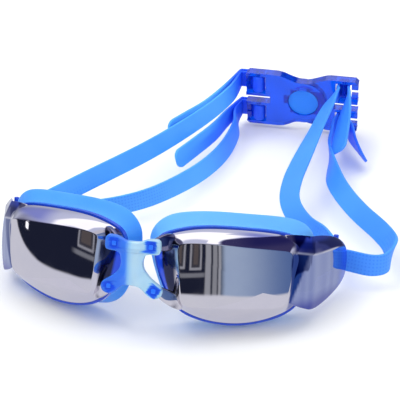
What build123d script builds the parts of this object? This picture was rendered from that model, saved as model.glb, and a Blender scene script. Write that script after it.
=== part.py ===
import os
from math import sin, cos, radians, sqrt, pi
from build123d import *

# ---------------------------------------------------------------- driving sizes (mm)
LEAN = 12.61          # the cups lean back by this much, top away from the viewer
WRAP = 21.1           # each pane is turned outward by this much
PANE_U0 = 16.46       # nose edge of a pane from the middle plane
LENS_DEPTH = 7.5      # pane face to rear rim
WALL = 1.8            # lens wall
RIM_T = 1.8           # blue rim behind the lens
SEAL_BACK = 17.8      # pane face to the back edge of the seal
TAIL_S = (56.6, 7.0)  # where the outer face of the temple tail starts (along pane, depth)
TAIL_E = (74.9, 27.5) # where it ends
STRAP_W = 9.6
STRAP_T = 1.4
BAR_R = 1.1           # strap bar radius in the temple tail
BUCKLE = (32.6, 206.9, -11.5)
BUCKLE_LEAN = 12.0    # top of the buckle leans towards the cups
BUCKLE_T = 5.0
ARM_H = 14.2          # height of one buckle arm
ARM_Y = 9.2           # centre height of an arm from the buckle's middle
SHIFT = (-9.33, -102.66, 29.77)

s_, c_ = sin(radians(LEAN)), cos(radians(LEAN))
sw, cwr = sin(radians(WRAP)), cos(radians(WRAP))
sb, cb = sin(radians(BUCKLE_LEAN)), cos(radians(BUCKLE_LEAN))


# ---------------------------------------------------------------- frames of reference
def cup(x, y, z):
    """cup frame (x across, y back, z up along the leaning cups) to the part's frame"""
    return (x + SHIFT[0], y * c_ + z * s_ + SHIFT[1], -y * s_ + z * c_ + SHIFT[2])


def cupd(x, y, z):
    return (x, y * c_ + z * s_, -y * s_ + z * c_)


def uvw(u, v, w):
    """pane frame of the right cup: u along the pane, v up, w back from its face"""
    return cup(PANE_U0 + u * cwr - w * sw, u * sw + w * cwr, v)


def pane_plane(w):
    return Plane(origin=uvw(0, 0, w), x_dir=cupd(cwr, sw, 0), z_dir=cupd(sw, -cwr, 0))


def bk(x, y, w):
    """buckle frame: x along it, y up, w towards the head"""
    return (BUCKLE[0] + x + SHIFT[0], BUCKLE[1] - y * sb - w * cb + SHIFT[1], BUCKLE[2] + y * cb - w * sb + SHIFT[2])


def bk_plane(w):
    return Plane(origin=bk(0, 0, w), x_dir=(1, 0, 0), z_dir=(0, -cb, -sb))


def world(p):
    return (p[0] + SHIFT[0], p[1] + SHIFT[1], p[2] + SHIFT[2])


def mir(p):
    return (2 * SHIFT[0] - p[0], p[1], p[2])


def offs(pts, t):
    """closed outline moved outward by t (inward when negative)"""
    n = len(pts)
    out = []
    for i in range(n):
        (x0, y0), (x1, y1) = pts[i - 1], pts[(i + 1) % n]
        dx, dy = x1 - x0, y1 - y0
        m = sqrt(dx * dx + dy * dy)
        out.append((pts[i][0] - dy / m * t, pts[i][1] + dx / m * t))
    return out


# ---------------------------------------------------------------- outlines, pane frame (u, v)
PANE = [(1.2, 12.2), (6, 12.6), (15, 12.2), (28, 11.0), (39, 10.0), (44.5, 9.2), (46.0, 6.5), (45.8, 0), (45.4, -7), (44.4, -12.2),
        (41, -14.3), (34, -14.6), (26, -14.6), (17, -14.4), (9, -14.0), (4, -13.6), (1.8, -11.5), (1.2, -6), (0.6, 1), (0.0, 7.5), (-0.1, 10.8)]
RIM = [(-3, 14.3), (5, 16.2), (15, 16.8), (29, 16), (42, 14.6), (49.4, 12), (53.2, 7.5), (54.7, 0), (54.3, -7), (51.6, -14),
       (46.6, -19), (38, -22.5), (28, -24.2), (18, -23.6), (9, -21.2), (2, -17), (-2, -11.5), (-5, -5), (-7.2, 2), (-7.8, 8.5), (-6.5, 12)]
SEAL = [(-2.7, 18.5), (4, 20.2), (16, 20.6), (30, 19.6), (44, 18.6), (53, 16.4), (58.0, 11), (59.3, 2), (58.6, -6), (55.5, -14.5),
        (49.5, -20), (39, -23.2), (28, -24.5), (17, -24.4), (7, -23), (0.5, -19), (-3, -13.5), (-5.5, -7), (-8, 1), (-9.3, 9), (-7.5, 14.5)]


# temple tail frame: s along the tail, v up, n outward
tl = sqrt((TAIL_E[0] - TAIL_S[0]) ** 2 + (TAIL_E[1] - TAIL_S[1]) ** 2)
tu, tw = (TAIL_E[0] - TAIL_S[0]) / tl, (TAIL_E[1] - TAIL_S[1]) / tl


def tail(s, v, n):
    return uvw(TAIL_S[0] + s * tu + n * tw, v, TAIL_S[1] + s * tw - n * tu)


def dirv(a, b):
    m = sqrt(sum((b[i] - a[i]) ** 2 for i in range(3)))
    return tuple((b[i] - a[i]) / m for i in range(3))


tail_x = dirv(tail(0, 0, 0), tail(1, 0, 0))
tail_n = dirv(tail(0, 0, 0), tail(0, 0, 1))


def tail_plane(n):
    return Plane(origin=tail(0, 0, n), x_dir=tail_x, z_dir=tail_n)


# nose lug tips and the wall points they start from, cup frame
LUG_UP, LUG_UP0 = (7.4, -3.4, 12.0), (12.6, 2.6, 11.2)
LUG_LO, LUG_LO0 = (9.1, -3.4, -5.8), (17.6, 3.6, -13.0)


def arm_planes(a, b):
    d = dirv(cup(*a), cup(*b))
    return Plane(origin=cup(*a), x_dir=cupd(0, 0, 1), z_dir=d), Plane(origin=cup(*b), x_dir=cupd(0, 0, 1), z_dir=d)


# ---------------------------------------------------------------- right lens
with BuildPart() as lens_right:
    with BuildSketch(pane_plane(0)):
        with BuildLine():
            Spline(PANE, periodic=True)
        make_face()
    with BuildSketch(pane_plane(LENS_DEPTH)):
        with BuildLine():
            Spline(RIM, periodic=True)
        make_face()
    loft()
    # temple tail, a tongue that runs back from the outer wall
    with BuildSketch(tail_plane(0)):
        with BuildLine():
            Polyline((-0.4, 10.9), (8, 10.4), (18, 8.6), (25, 5.8), (28.2, 2.6), (28.2, -10.6), (25.5, -13.4), (18, -16.2), (8, -17.6), (-0.4, -17.9), close=True)
        make_face()
    extrude(amount=-2.0)
    # cheek between the pane's outer crease and the tail
    with BuildSketch(Plane(origin=uvw(45.7, -2.2, 0.5), x_dir=cupd(0, 0, 1), z_dir=dirv(uvw(45.7, 0, 0.5), tail(0, 0, -1)))):
        Rectangle(20.5, 0.8)
    with BuildSketch(Plane(origin=tail(0, -3.5, -1), x_dir=cupd(0, 0, 1), z_dir=tail_x)):
        Rectangle(28.8, 2.0)
    loft()
    # arms to the two nose lugs
    for a, b in ((LUG_UP0, LUG_UP), (LUG_LO0, LUG_LO)):
        p0, p1 = arm_planes(a, b)
        with BuildSketch(p0):
            Rectangle(5.0, 2.6)
        with BuildSketch(p1):
            Rectangle(3.4, 2.2)
        loft()
    # end pads behind the bridge feet and the pegs that go through their windows
    for x, y, z in (LUG_UP, LUG_LO):
        with BuildSketch(Plane(origin=cup(x, -3.2, z), x_dir=(1, 0, 0), z_dir=cupd(0, -1, 0))):
            RectangleRounded(3.8, 3.6, 0.6)
        extrude(amount=1.6)
        with BuildSketch(Plane(origin=cup(x, -4.8, z), x_dir=(1, 0, 0), z_dir=cupd(0, -1, 0))):
            RectangleRounded(2.0, 2.0, 0.4)
        extrude(amount=3.2)
    # hollow eye cup
    with BuildSketch(pane_plane(WALL)):
        with BuildLine():
            Spline(offs(PANE, -1.2), periodic=True)
        make_face()
    with BuildSketch(pane_plane(LENS_DEPTH + 0.02)):
        with BuildLine():
            Spline(offs(RIM, -WALL), periodic=True)
        make_face()
    loft(mode=Mode.SUBTRACT)

# ---------------------------------------------------------------- right rim with the strap bar
BAR_N = -(2.0 + 0.2 + STRAP_T / 2 + BAR_R + 0.12 + STRAP_T / 2)
BAR_S = 27.0
with BuildPart() as frame_right:
    with BuildSketch(pane_plane(LENS_DEPTH)):
        with BuildLine():
            Spline(offs(RIM, 0.5), periodic=True)
        make_face()
    extrude(amount=-RIM_T)
    # backing of the temple tail
    with BuildSketch(tail_plane(-2.0)):
        with BuildLine():
            Polyline((-1.0, 7.5), (14, 7.5), (20.8, 5.6), (20.8, -12.6), (14, -14.2), (-1.0, -14.2), close=True)
        make_face()
    extrude(amount=-(-BAR_N + 0.9 - 2.0))
    with BuildSketch(tail_plane(BAR_N + 0.9)):
        with Locations((24.0, 0.4 + 1.5), (24.0, -9.9 - 1.4)):
            Rectangle(7.0, 2.6)
    extrude(amount=-1.8)
    # strap bar, standing a little above the tail
    with BuildSketch(Plane(origin=tail(BAR_S, -12.4, BAR_N), x_dir=tail_x, z_dir=cupd(0, 0, 1))):
        Circle(BAR_R)
    extrude(amount=19.4)
    # the outer skin of the tail belongs to the lens
    with BuildSketch(tail_plane(-2.0)):
        with Locations((6.0, -3.5)):
            Rectangle(30.0, 60.0)
    extrude(amount=12.0, mode=Mode.SUBTRACT)
    # opening for the eye
    with BuildSketch(pane_plane(LENS_DEPTH - 0.05)):
        with BuildLine():
            Spline(offs(RIM, -3.4), periodic=True)
        make_face()
    extrude(amount=-(RIM_T + 0.1), mode=Mode.SUBTRACT)
    # the seal's place behind the rim stays free
    with BuildSketch(pane_plane(LENS_DEPTH + RIM_T)):
        with BuildLine():
            Spline(offs(RIM, 0.4), periodic=True)
        make_face()
    with BuildSketch(pane_plane(SEAL_BACK + 0.6)):
        with BuildLine():
            Spline(offs(SEAL, 0.5), periodic=True)
        make_face()
    loft(mode=Mode.SUBTRACT)
    # and so does the way to the face behind it
    with BuildSketch(pane_plane(SEAL_BACK + 0.5)):
        with BuildLine():
            Spline(offs(SEAL, 0.5), periodic=True)
        make_face()
    extrude(amount=-3.5, mode=Mode.SUBTRACT)
    # nothing of the lens's place is taken up
    with BuildSketch(pane_plane(-6)):
        with BuildLine():
            Spline(offs(RIM, 3.0), periodic=True)
        make_face()
    extrude(amount=-(LENS_DEPTH + 6), mode=Mode.SUBTRACT)

    add(lens_right.part, mode=Mode.SUBTRACT)

# ---------------------------------------------------------------- right seal
with BuildPart() as gasket_right:
    with BuildSketch(pane_plane(LENS_DEPTH + RIM_T)):
        with BuildLine():
            Spline(offs(RIM, -0.3), periodic=True)
        make_face()
    with BuildSketch(pane_plane(SEAL_BACK)):
        with BuildLine():
            Spline(SEAL, periodic=True)
        make_face()
    loft()
    with BuildSketch(pane_plane(LENS_DEPTH + RIM_T - 0.02)):
        with BuildLine():
            Spline(offs(RIM, -3.4), periodic=True)
        make_face()
    with BuildSketch(pane_plane(SEAL_BACK + 0.02)):
        with BuildLine():
            Spline(offs(SEAL, -5.0), periodic=True)
        make_face()
    loft(mode=Mode.SUBTRACT)

about = Plane(origin=(SHIFT[0], 0, 0), x_dir=(0, 1, 0), z_dir=(1, 0, 0))
with BuildPart() as lens_left:
    mirror(lens_right.part, about=about)
with BuildPart() as frame_left:
    mirror(frame_right.part, about=about)
with BuildPart() as gasket_left:
    mirror(gasket_right.part, about=about)

# ---------------------------------------------------------------- nose bridge, one soft moulding with four window feet
HALF = [(0, 13.0), (4.6, 13.9), (9.9, 13.9), (9.9, 10.1), (5.4, 9.4), (4.1, 7.2), (3.9, 4.4), (5.2, 0.8), (8.6, -2.4), (11.8, -5.0), (11.8, -8.2), (7.2, -8.6), (4.2, -5.0), (0, -3.9)]
with BuildPart() as nose_bridge:
    with BuildSketch(Plane(origin=cup(0, -4.9, 0), x_dir=(1, 0, 0), z_dir=cupd(0, -1, 0))):
        with BuildLine():
            Polyline(HALF + [(-x, z) for x, z in reversed(HALF[1:-1])], close=True)
        make_face()
        with Locations((LUG_UP[0], LUG_UP[2]), (-LUG_UP[0], LUG_UP[2]), (LUG_LO[0], LUG_LO[2]), (-LUG_LO[0], LUG_LO[2])):
            Rectangle(2.3, 2.3, mode=Mode.SUBTRACT)
    extrude(amount=2.6)

# ---------------------------------------------------------------- buckle, socket half with the round boss
T2 = BUCKLE_T / 2
BTN_R = 8.0
BOSS_R = 12.6
SLOT_H = 10.6
HOOK_X = 29.2         # outer end of the right arms, where the bar is split into two hooks
HOOK_GAP = 2.8


def arm(side, yc):
    """outer bar, slot, middle bar, slot: x positions from the outer end inward"""
    x_end = -31.0 if side < 0 else 28.0
    d = -side
    return [x_end, x_end + d * 2.3, x_end + d * 5.4, x_end + d * 7.6, x_end + d * 10.7]


with BuildPart() as buckle_socket:
    with BuildSketch(bk_plane(-T2)):
        Circle(BOSS_R)
        with BuildLine():
            Spline((0, 12.5), (-4.5, 13.1), (-9.5, 15.0), (-16.5, 16.3), tangents=((-1, 0), (-1, 0)))
            Polyline((-16.5, 16.3), (-29.4, 16.3), (-31, 14.9), (-31, -14.9), (-29.4, -16.3), (-15.0, -16.3))
            Spline((-15.0, -16.3), (-9.5, -15.4), (-5.2, -13.2), (0, -12.5), tangents=((1, 0), (1, 0)))
            Line((0, -12.5), (0, 12.5))
        make_face()
        # gap between the two arms
        with Locations((-25.0, 0)):
            Rectangle(14.0, 2 * (ARM_Y - ARM_H / 2), mode=Mode.SUBTRACT)
    extrude(amount=BUCKLE_T)
    # slots and thinner bars
    for yc in (ARM_Y, -ARM_Y):
        e = arm(-1, yc)
        with BuildSketch(bk_plane(-T2 - 0.1)):
            for a, b in ((e[1], e[2]), (e[3], e[4])):
                with Locations(((a + b) / 2, yc)):
                    Rectangle(abs(b - a), SLOT_H, mode=Mode.ADD)
        extrude(amount=BUCKLE_T + 0.2, mode=Mode.SUBTRACT)
        for w in (-T2 - 0.1, 1.15):
            with BuildSketch(bk_plane(w)):
                with Locations(((e[0] + e[4]) / 2 - 0.5, yc)):
                    Rectangle(abs(e[4] - e[0]) + 1.0, SLOT_H)
            extrude(amount=T2 + 0.1 - 1.15, mode=Mode.SUBTRACT)
        # split in the outer bar for slipping the strap in edgewise
        with BuildSketch(bk_plane(-T2 - 0.1)):
            with Locations((e[0], yc)):
                Rectangle(5.0, 1.2)
        extrude(amount=BUCKLE_T + 0.2, mode=Mode.SUBTRACT)
    # button well, right through
    with BuildSketch(bk_plane(-T2 - 0.1)):
        Circle(BTN_R + 0.15)
    extrude(amount=BUCKLE_T + 0.2, mode=Mode.SUBTRACT)
    # flat pocket for the two prongs of the other half, open to the right
    with BuildSketch(bk_plane(-0.86)):
        with Locations((3.0, 0)):
            Rectangle(20.1, 14.72)
    extrude(amount=1.72, mode=Mode.SUBTRACT)
    # slot that holds the root of the latch spring
    with BuildSketch(bk_plane(-1.85)):
        with Locations((-9.0, 0)):
            Rectangle(4.0, 5.0)
    extrude(amount=0.6, mode=Mode.SUBTRACT)

# ---------------------------------------------------------------- buckle, tongue half with the two prongs
with BuildPart() as buckle_tongue:
    with BuildSketch(bk_plane(-T2)):
        with BuildLine():
            Spline((2.2, 12.6), (6.0, 13.6), (10.0, 15.2), (15.5, 16.3), tangents=((1, 0.12), (1, 0)))
            Polyline((15.5, 16.3), (27.6, 16.3), (HOOK_X, 14.7), (HOOK_X, -14.7), (27.6, -16.3), (15.0, -16.3))
            Spline((15.0, -16.3), (10.0, -15.6), (5.8, -13.6), (2.2, -12.6), tangents=((-1, 0), (-1, 0.12)))
            Line((2.2, -12.6), (2.2, 12.6))
        make_face()
        with Locations((23.5, 0)):
            Rectangle(14.0, 2 * (ARM_Y - ARM_H / 2), mode=Mode.SUBTRACT)
        Circle(BOSS_R + 0.25, mode=Mode.SUBTRACT)
    extrude(amount=BUCKLE_T)
    for yc in (ARM_Y, -ARM_Y):
        e = arm(1, yc)
        with BuildSketch(bk_plane(-T2 - 0.1)):
            for a, b in ((e[1], e[2]), (e[3], e[4])):
                with Locations(((a + b) / 2, yc)):
                    Rectangle(abs(b - a), SLOT_H)
        extrude(amount=BUCKLE_T + 0.2, mode=Mode.SUBTRACT)
        for w in (-T2 - 0.1, 1.15):
            with BuildSketch(bk_plane(w)):
                with Locations(((e[0] + e[4]) / 2 + 1.2, yc)):
                    Rectangle(abs(e[4] - e[0]) + 2.4, SLOT_H)
            extrude(amount=T2 + 0.1 - 1.15, mode=Mode.SUBTRACT)
        with BuildSketch(bk_plane(-T2 - 0.1)):
            with Locations((e[0], yc)):
                Rectangle(5.0, HOOK_GAP)
        extrude(amount=BUCKLE_T + 0.2, mode=Mode.SUBTRACT)
    # prongs: a fork that passes both sides of the button's stem
    with BuildSketch(bk_plane(-0.8)):
        with Locations((4.0, 0)):
            Rectangle(21.0, 14.6)
        with Locations((-1.5, 0)):
            Rectangle(12.0, 7.4, mode=Mode.SUBTRACT)
        with Locations((-3.6, 5.5), (-3.6, -5.5)):
            Rectangle(2.6, 2.0, mode=Mode.SUBTRACT)
    extrude(amount=1.6)

# ---------------------------------------------------------------- release button, a spool seen from both sides
with BuildPart() as release_button:
    with BuildSketch(bk_plane(-4.0)):
        Circle(BTN_R)
    extrude(amount=2.05)
    with BuildSketch(bk_plane(-4.0)):
        Circle(3.0)
    extrude(amount=5.4)
    with BuildSketch(bk_plane(0.95)):
        Circle(BTN_R)
    extrude(amount=0.75)

# ---------------------------------------------------------------- latch spring, a leaf with two catches
with BuildPart() as latch_spring:
    with BuildSketch(bk_plane(-1.75)):
        Circle(7.7)
        with Locations((-8.8, 0)):
            Rectangle(3.6, 4.8)
        Circle(3.3, mode=Mode.SUBTRACT)
    extrude(amount=0.45)
    with BuildSketch(bk_plane(-1.75)):
        with Locations((-3.6, 5.5), (-3.6, -5.5)):
            Rectangle(1.8, 1.4)
    extrude(amount=2.3)


# ---------------------------------------------------------------- straps
def vadd(a, b, k=1.0):
    return tuple(a[i] + b[i] * k for i in range(3))


def unit(a):
    m = sqrt(sum(v * v for v in a))
    return tuple(v / m for v in a)


def crom(P, n):
    """smooth curve through the control points, n steps each"""
    Q = [tuple(2 * a - b for a, b in zip(P[0], P[1]))] + list(P) + [tuple(2 * a - b for a, b in zip(P[-1], P[-2]))]
    out = []
    for i in range(1, len(Q) - 2):
        for k in range(n):
            t = k / n
            out.append(tuple(0.5 * (2 * b + (c - a) * t + (2 * a - 5 * b + 4 * c - d) * t * t + (3 * b - a - 3 * c + d) * t ** 3)
                             for a, b, c, d in zip(Q[i - 1], Q[i], Q[i + 1], Q[i + 2])))
    out.append(tuple(P[-1]))
    return out


def band(stations):
    """flat band through (point, width direction) stations, as one closed solid"""
    P = [s[0] for s in stations]
    n = len(P)
    planes = []
    for i in range(n):
        a, b = P[max(i - 1, 0)], P[min(i + 1, n - 1)]
        t = dirv(a, b)
        w = stations[i][1]
        k = sum(w[j] * t[j] for j in range(3))
        w = unit(tuple(w[j] - k * t[j] for j in range(3)))
        planes.append(Plane(origin=P[i], x_dir=w, z_dir=t))
    return planes


def spread(ctrl, n=4):
    P = crom([c[0] for c in ctrl], n)
    W = crom([c[1] for c in ctrl], n)
    return list(zip(P, W))


UPB = (0, -sb, cb)
CZ = cupd(0, 0, 1)
LOOP_R = BAR_R + 0.12 + STRAP_T / 2
STRAP_V = -4.75


def tail_loop():
    """round the strap bar, from the inner strand to the outer one"""
    out = []
    for k in range(0, 9):
        a = pi * k / 8
        out.append((tail(BAR_S - LOOP_R * sin(a), STRAP_V, BAR_N - LOOP_R * cos(a)), CZ))
    return out


def tl_pt(s, n, v=STRAP_V):
    return tail(s, v, n)


def arm_left(yc):
    """left arms: in below the outer bar, over the middle bar, back below; stations from the band to the free end"""
    e = arm(-1, yc)
    bar = (e[2] + e[3]) / 2
    r = abs(e[3] - e[2]) / 2 + abs(e[2] - e[1]) / 2
    out = []
    x1, x2 = bar - r, bar + r
    for x, w in ((x1 - 7.5, -2.2), (x1 - 4.0, -2.1), (x1 - 1.55, -2.05), (x1 - 0.75, -1.8), (x1 - 0.2, -1.25), (x1, -0.55)):
        out.append((x, w))
    for k in range(0, 9):
        a = pi * k / 8
        out.append((bar - r * cos(a), r * sin(a)))
    for x, w in ((x2, -1.0), (x2, -2.2), (x2 - 0.35, -3.1), (x2 - 1.1, -3.8), (x2 - 2.2, -4.15), (x2 - 5.0, -4.2), (x2 - 9.0, -4.2), (x2 - 13.0, -4.2)):
        out.append((x, w))
    return [(bk(x, yc, w), UPB) for x, w in out]


def arm_right(yc):
    """right arms: down through the inner slot, round the middle bar, up through the outer slot"""
    e = arm(1, yc)
    bar = (e[2] + e[3]) / 2
    r = abs(e[3] - e[2]) / 2 + abs(e[2] - e[1]) / 2
    out = [(bar - r - 0.35, 4.6), (bar - r - 0.1, 2.6), (bar - r, 0.9)]
    for k in range(0, 9):
        a = pi * k / 8
        out.append((bar - r * cos(a), -r * sin(a)))
    out += [(bar + r, 0.9), (bar + r + 0.1, 2.6), (bar + r + 0.35, 4.6)]
    return [(bk(x, yc, w), UPB) for x, w in out]


# left strap, from the upper free end to the lower free end
m_loop = [(mir(p), CZ) for p, w in tail_loop()]
AL, BL = arm_left(ARM_Y), arm_left(-ARM_Y)
up_tail = spread([(world((-24.6, 139.5, -5.6)), (-.2, 0, 1)), (world((-18.5, 151.0, -4.4)), (-.2, 0, 1)), (world((-11.2, 166.0, -3.2)), (-.2, 0, 1)), (world((-6.0, 187.0, -2.4)), (-.1, -.05, 1)), AL[-1]], 3)
lo_tail = spread([BL[-1], (world((-6.0, 190.0, -18.6)), (-.1, -.05, 1)), (world((-7.5, 166.5, -16.2)), (-.2, 0, 1)), (world((-11.5, 144.0, -14.4)), (-.25, 0, 1)), (world((-16.2, 122.4, -13.0)), (-.3, 0, 1))], 3)
# taut upper band
up_main = spread([AL[0], (world((-3.4, 186.0, -3.0)), (-.15, -.05, 1)), (world((-12.4, 158.8, -5.4)), (-.2, .05, .98)), (world((-29.4, 122.9, -8.4)), (-.3, .15, .95)),
                  (world((-53.3, 86.4, -12.4)), (-.3, .2, .95)), (mir(tl_pt(BAR_S + 12, BAR_N - LOOP_R + 0.2)), cupd(-.1, 0, 1)), (mir(tl_pt(BAR_S + 4, BAR_N - LOOP_R)), CZ), m_loop[0]], 4)
# lower band leaves on the outer side of the bar, passes below and behind the upper one and swings up to its arm
lo_main = spread([m_loop[-1], (mir(tl_pt(BAR_S + 4.0, BAR_N + LOOP_R)), CZ), (mir(tl_pt(BAR_S + 10.0, BAR_N + LOOP_R - 0.3, -5.2)), CZ), (world((-64.0, 74.5, -21.5)), (-.15, .05, 1)), (world((-44.5, 81.0, -21.5)), (-.12, 0, 1)),
                  (world((-28.4, 89.5, -20.2)), (-.1, 0, 1)), (world((-16.5, 102.7, -19.5)), (-.15, .05, 1)), (world((-5.1, 126.1, -19.5)), (-.3, .1, .95)),
                  (world((0.6, 152.0, -20.0)), (-.35, .1, .9)), (world((1.0, 180.0, -20.4)), (-.3, .0, 1)), (world((-2.6, 199.0, -20.6)), (-.15, -.1, 1)), BL[0]], 4)
with BuildPart() as strap_left:
    for pl in band(up_tail[:-1] + AL[::-1] + up_main[1:-1] + m_loop + lo_main[1:-1] + BL + lo_tail[1:]):
        with BuildSketch(pl):
            Rectangle(STRAP_W, STRAP_T)
    loft(ruled=True)

# right strap, slack: one band curls inside, the other swings out past the temple and folds back
r_loop = tail_loop()
AR, BR = arm_right(ARM_Y), arm_right(-ARM_Y)
ra_main = spread([AR[0], (world((49.6, 196.0, -2.6)), (.5, -.3, .8)), (world((48.4, 184.0, -3.8)), (.7, -.35, .6)), (world((46.4, 158.4, -6.0)), (.8, -.3, .5)), (world((44.1, 128.5, -9.0)), (1, -.3, .2)), (world((43.2, 112.0, -11.0)), (1, -.2, .15)),
                  (world((44.4, 97.0, -12.6)), (.9, -.0, .3)), (world((49.0, 85.5, -14.0)), (.7, .4, .6)), (world((56.0, 77.0, -15.4)), (.2, .4, .9)), (world((64.5, 71.0, -16.4)), (.0, .2, .95)),
                  (tl_pt(BAR_S + 9.5, BAR_N - LOOP_R - 2.2), CZ), (tl_pt(BAR_S + 3.0, BAR_N - LOOP_R), CZ), r_loop[0]], 4)
rb_main = spread([r_loop[-1], (tl_pt(BAR_S + 2.6, BAR_N + LOOP_R), CZ), (tl_pt(BAR_S + 5.2, BAR_N + LOOP_R + 1.0), CZ), (world((87.7, 53.9, -17.5)), CZ), (world((93.8, 59.6, -18.0)), (-.1, -.1, 1)), (world((93.7, 73.2, -18.0)), (.5, -.3, .7)),
                  (world((88.1, 84.6, -18.0)), (.7, -.1, .6)), (world((76.8, 100.0, -18.0)), (.7, .2, .6)), (world((67.8, 115.0, -18.0)), (.8, .1, .5)), (world((60.9, 130.3, -18.0)), (.7, 0, .6)),
                  (world((56.4, 148.1, -19.0)), (.3, 0, .9)), (world((53.6, 165.7, -19.4)), (-.2, 0, .9)), (world((52.2, 184.0, -20.0)), (-.2, -.1, .95)), (world((51.0, 196.0, -20.8)), (-.1, -.15, 1)), BR[0]], 4)
ur_tail = spread([(world((58.6, 153.6, -14.6)), (.75, 0, .6)), (world((58.2, 168.0, -11.6)), (.7, 0, .6)), (world((57.6, 183.0, -7.6)), (.6, -.1, .7)), (world((57.0, 196.0, -4.0)), (.3, -.1, .95)), AR[-1]], 3)
lr_tail = spread([BR[-1], (world((60.6, 192.0, -20.8)), (.1, .0, 1)), (world((65.2, 180.0, -21.6)), (-.05, -.5, .85)), (world((71.0, 166.5, -22.4)), (-.1, -.75, .62))], 3)
with BuildPart() as strap_right:
    for pl in band(ur_tail[:-1] + AR[::-1] + ra_main[1:-1] + r_loop + rb_main[1:-1] + BR + lr_tail[1:]):
        with BuildSketch(pl):
            Rectangle(STRAP_W, STRAP_T)
    loft(ruled=True)

# ---------------------------------------------------------------- export
os.makedirs("parts", exist_ok=True)
lens_left.part.label = "lens_left"
export_step(lens_left.part, "parts/lens_left.step")
lens_right.part.label = "lens_right"
export_step(lens_right.part, "parts/lens_right.step")
frame_left.part.label = "frame_left"
export_step(frame_left.part, "parts/frame_left.step")
frame_right.part.label = "frame_right"
export_step(frame_right.part, "parts/frame_right.step")
gasket_left.part.label = "gasket_left"
export_step(gasket_left.part, "parts/gasket_left.step")
gasket_right.part.label = "gasket_right"
export_step(gasket_right.part, "parts/gasket_right.step")
nose_bridge.part.label = "nose_bridge"
export_step(nose_bridge.part, "parts/nose_bridge.step")
strap_left.part.label = "strap_left"
export_step(strap_left.part, "parts/strap_left.step")
strap_right.part.label = "strap_right"
export_step(strap_right.part, "parts/strap_right.step")
buckle_socket.part.label = "buckle_socket"
export_step(buckle_socket.part, "parts/buckle_socket.step")
buckle_tongue.part.label = "buckle_tongue"
export_step(buckle_tongue.part, "parts/buckle_tongue.step")
release_button.part.label = "release_button"
export_step(release_button.part, "parts/release_button.step")
latch_spring.part.label = "latch_spring"
export_step(latch_spring.part, "parts/latch_spring.step")
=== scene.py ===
import bpy
import numpy as np
from math import sin, cos, radians, pi, sqrt
from mathutils import Vector, Matrix


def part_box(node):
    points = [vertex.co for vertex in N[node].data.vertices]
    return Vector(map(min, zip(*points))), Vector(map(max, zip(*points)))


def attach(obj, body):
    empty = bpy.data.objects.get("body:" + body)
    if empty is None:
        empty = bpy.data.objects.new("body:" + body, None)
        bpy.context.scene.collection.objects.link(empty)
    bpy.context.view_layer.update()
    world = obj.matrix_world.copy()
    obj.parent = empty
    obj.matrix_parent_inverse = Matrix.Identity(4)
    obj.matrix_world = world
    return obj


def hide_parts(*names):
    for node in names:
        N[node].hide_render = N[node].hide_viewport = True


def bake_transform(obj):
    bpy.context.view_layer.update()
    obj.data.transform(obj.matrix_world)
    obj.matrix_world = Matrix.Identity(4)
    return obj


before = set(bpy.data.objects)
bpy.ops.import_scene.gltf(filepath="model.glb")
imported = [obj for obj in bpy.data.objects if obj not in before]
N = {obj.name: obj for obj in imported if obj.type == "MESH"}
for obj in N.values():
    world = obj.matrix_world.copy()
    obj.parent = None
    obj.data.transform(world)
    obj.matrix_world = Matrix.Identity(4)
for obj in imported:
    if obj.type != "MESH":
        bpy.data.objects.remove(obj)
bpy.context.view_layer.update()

# ------------------------------------------------------------------ frames, the same sizes as the CAD (mm)
LEAN, WRAP, PANE_U0, LENS_DEPTH, RIM_T, SEAL_BACK = 12.61, 21.1, 16.46, 7.5, 1.8, 17.8
TAIL_S, TAIL_E = (56.6, 7.0), (74.9, 27.5)
STRAP_W, STRAP_T, BAR_R, BAR_S = 9.6, 1.4, 1.1, 27.0
BUCKLE, BUCKLE_LEAN, ARM_Y = (32.6, 206.9, -11.5), 12.0, 9.2
s_, c_ = sin(radians(LEAN)), cos(radians(LEAN))
sw, cw = sin(radians(WRAP)), cos(radians(WRAP))
sb, cb = sin(radians(BUCKLE_LEAN)), cos(radians(BUCKLE_LEAN))

# the row frame is the bounding box's bottom centre: found again from two CAD boxes
_gl, _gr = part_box("gasket_left"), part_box("gasket_right")
SX = (_gl[0][0] + _gr[1][0]) / 2 * 1000
SHIFT = (SX, -102.66, 29.77)
_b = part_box("release_button")
SHIFT = (SX, (_b[0][1] + _b[1][1]) / 2 * 1000 - 208.025, (_b[0][2] + _b[1][2]) / 2 * 1000 + 11.26)
print("SHIFT", SHIFT)
SH = np.array(SHIFT)


def cup(x, y, z):
    x, y, z = np.broadcast_arrays(x, y, z)
    return np.stack([x + SH[0], y * c_ + z * s_ + SH[1], -y * s_ + z * c_ + SH[2]], -1) * 0.001


def cupd(x, y, z):
    return np.array([x, y * c_ + z * s_, -y * s_ + z * c_], float)


def uvw(u, v, w):
    u, v, w = np.broadcast_arrays(np.asarray(u, float), np.asarray(v, float), np.asarray(w, float))
    return cup(PANE_U0 + u * cw - w * sw, u * sw + w * cw, v)


def bk(x, y, w):
    return np.array([BUCKLE[0] + x + SH[0], BUCKLE[1] - y * sb - w * cb + SH[1], BUCKLE[2] + y * cb - w * sb + SH[2]]) * 0.001


def wd(x, y, z):
    return (np.array([x, y, z], float) + SH) * 0.001


def mirx(P):
    P = np.array(P, float)
    P[..., 0] = 2 * SH[0] * 0.001 - P[..., 0]
    return P


tl = sqrt((TAIL_E[0] - TAIL_S[0]) ** 2 + (TAIL_E[1] - TAIL_S[1]) ** 2)
tu, tw = (TAIL_E[0] - TAIL_S[0]) / tl, (TAIL_E[1] - TAIL_S[1]) / tl


def tail(s, v, n):
    return uvw(TAIL_S[0] + s * tu + n * tw, v, TAIL_S[1] + s * tw - n * tu)


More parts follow.
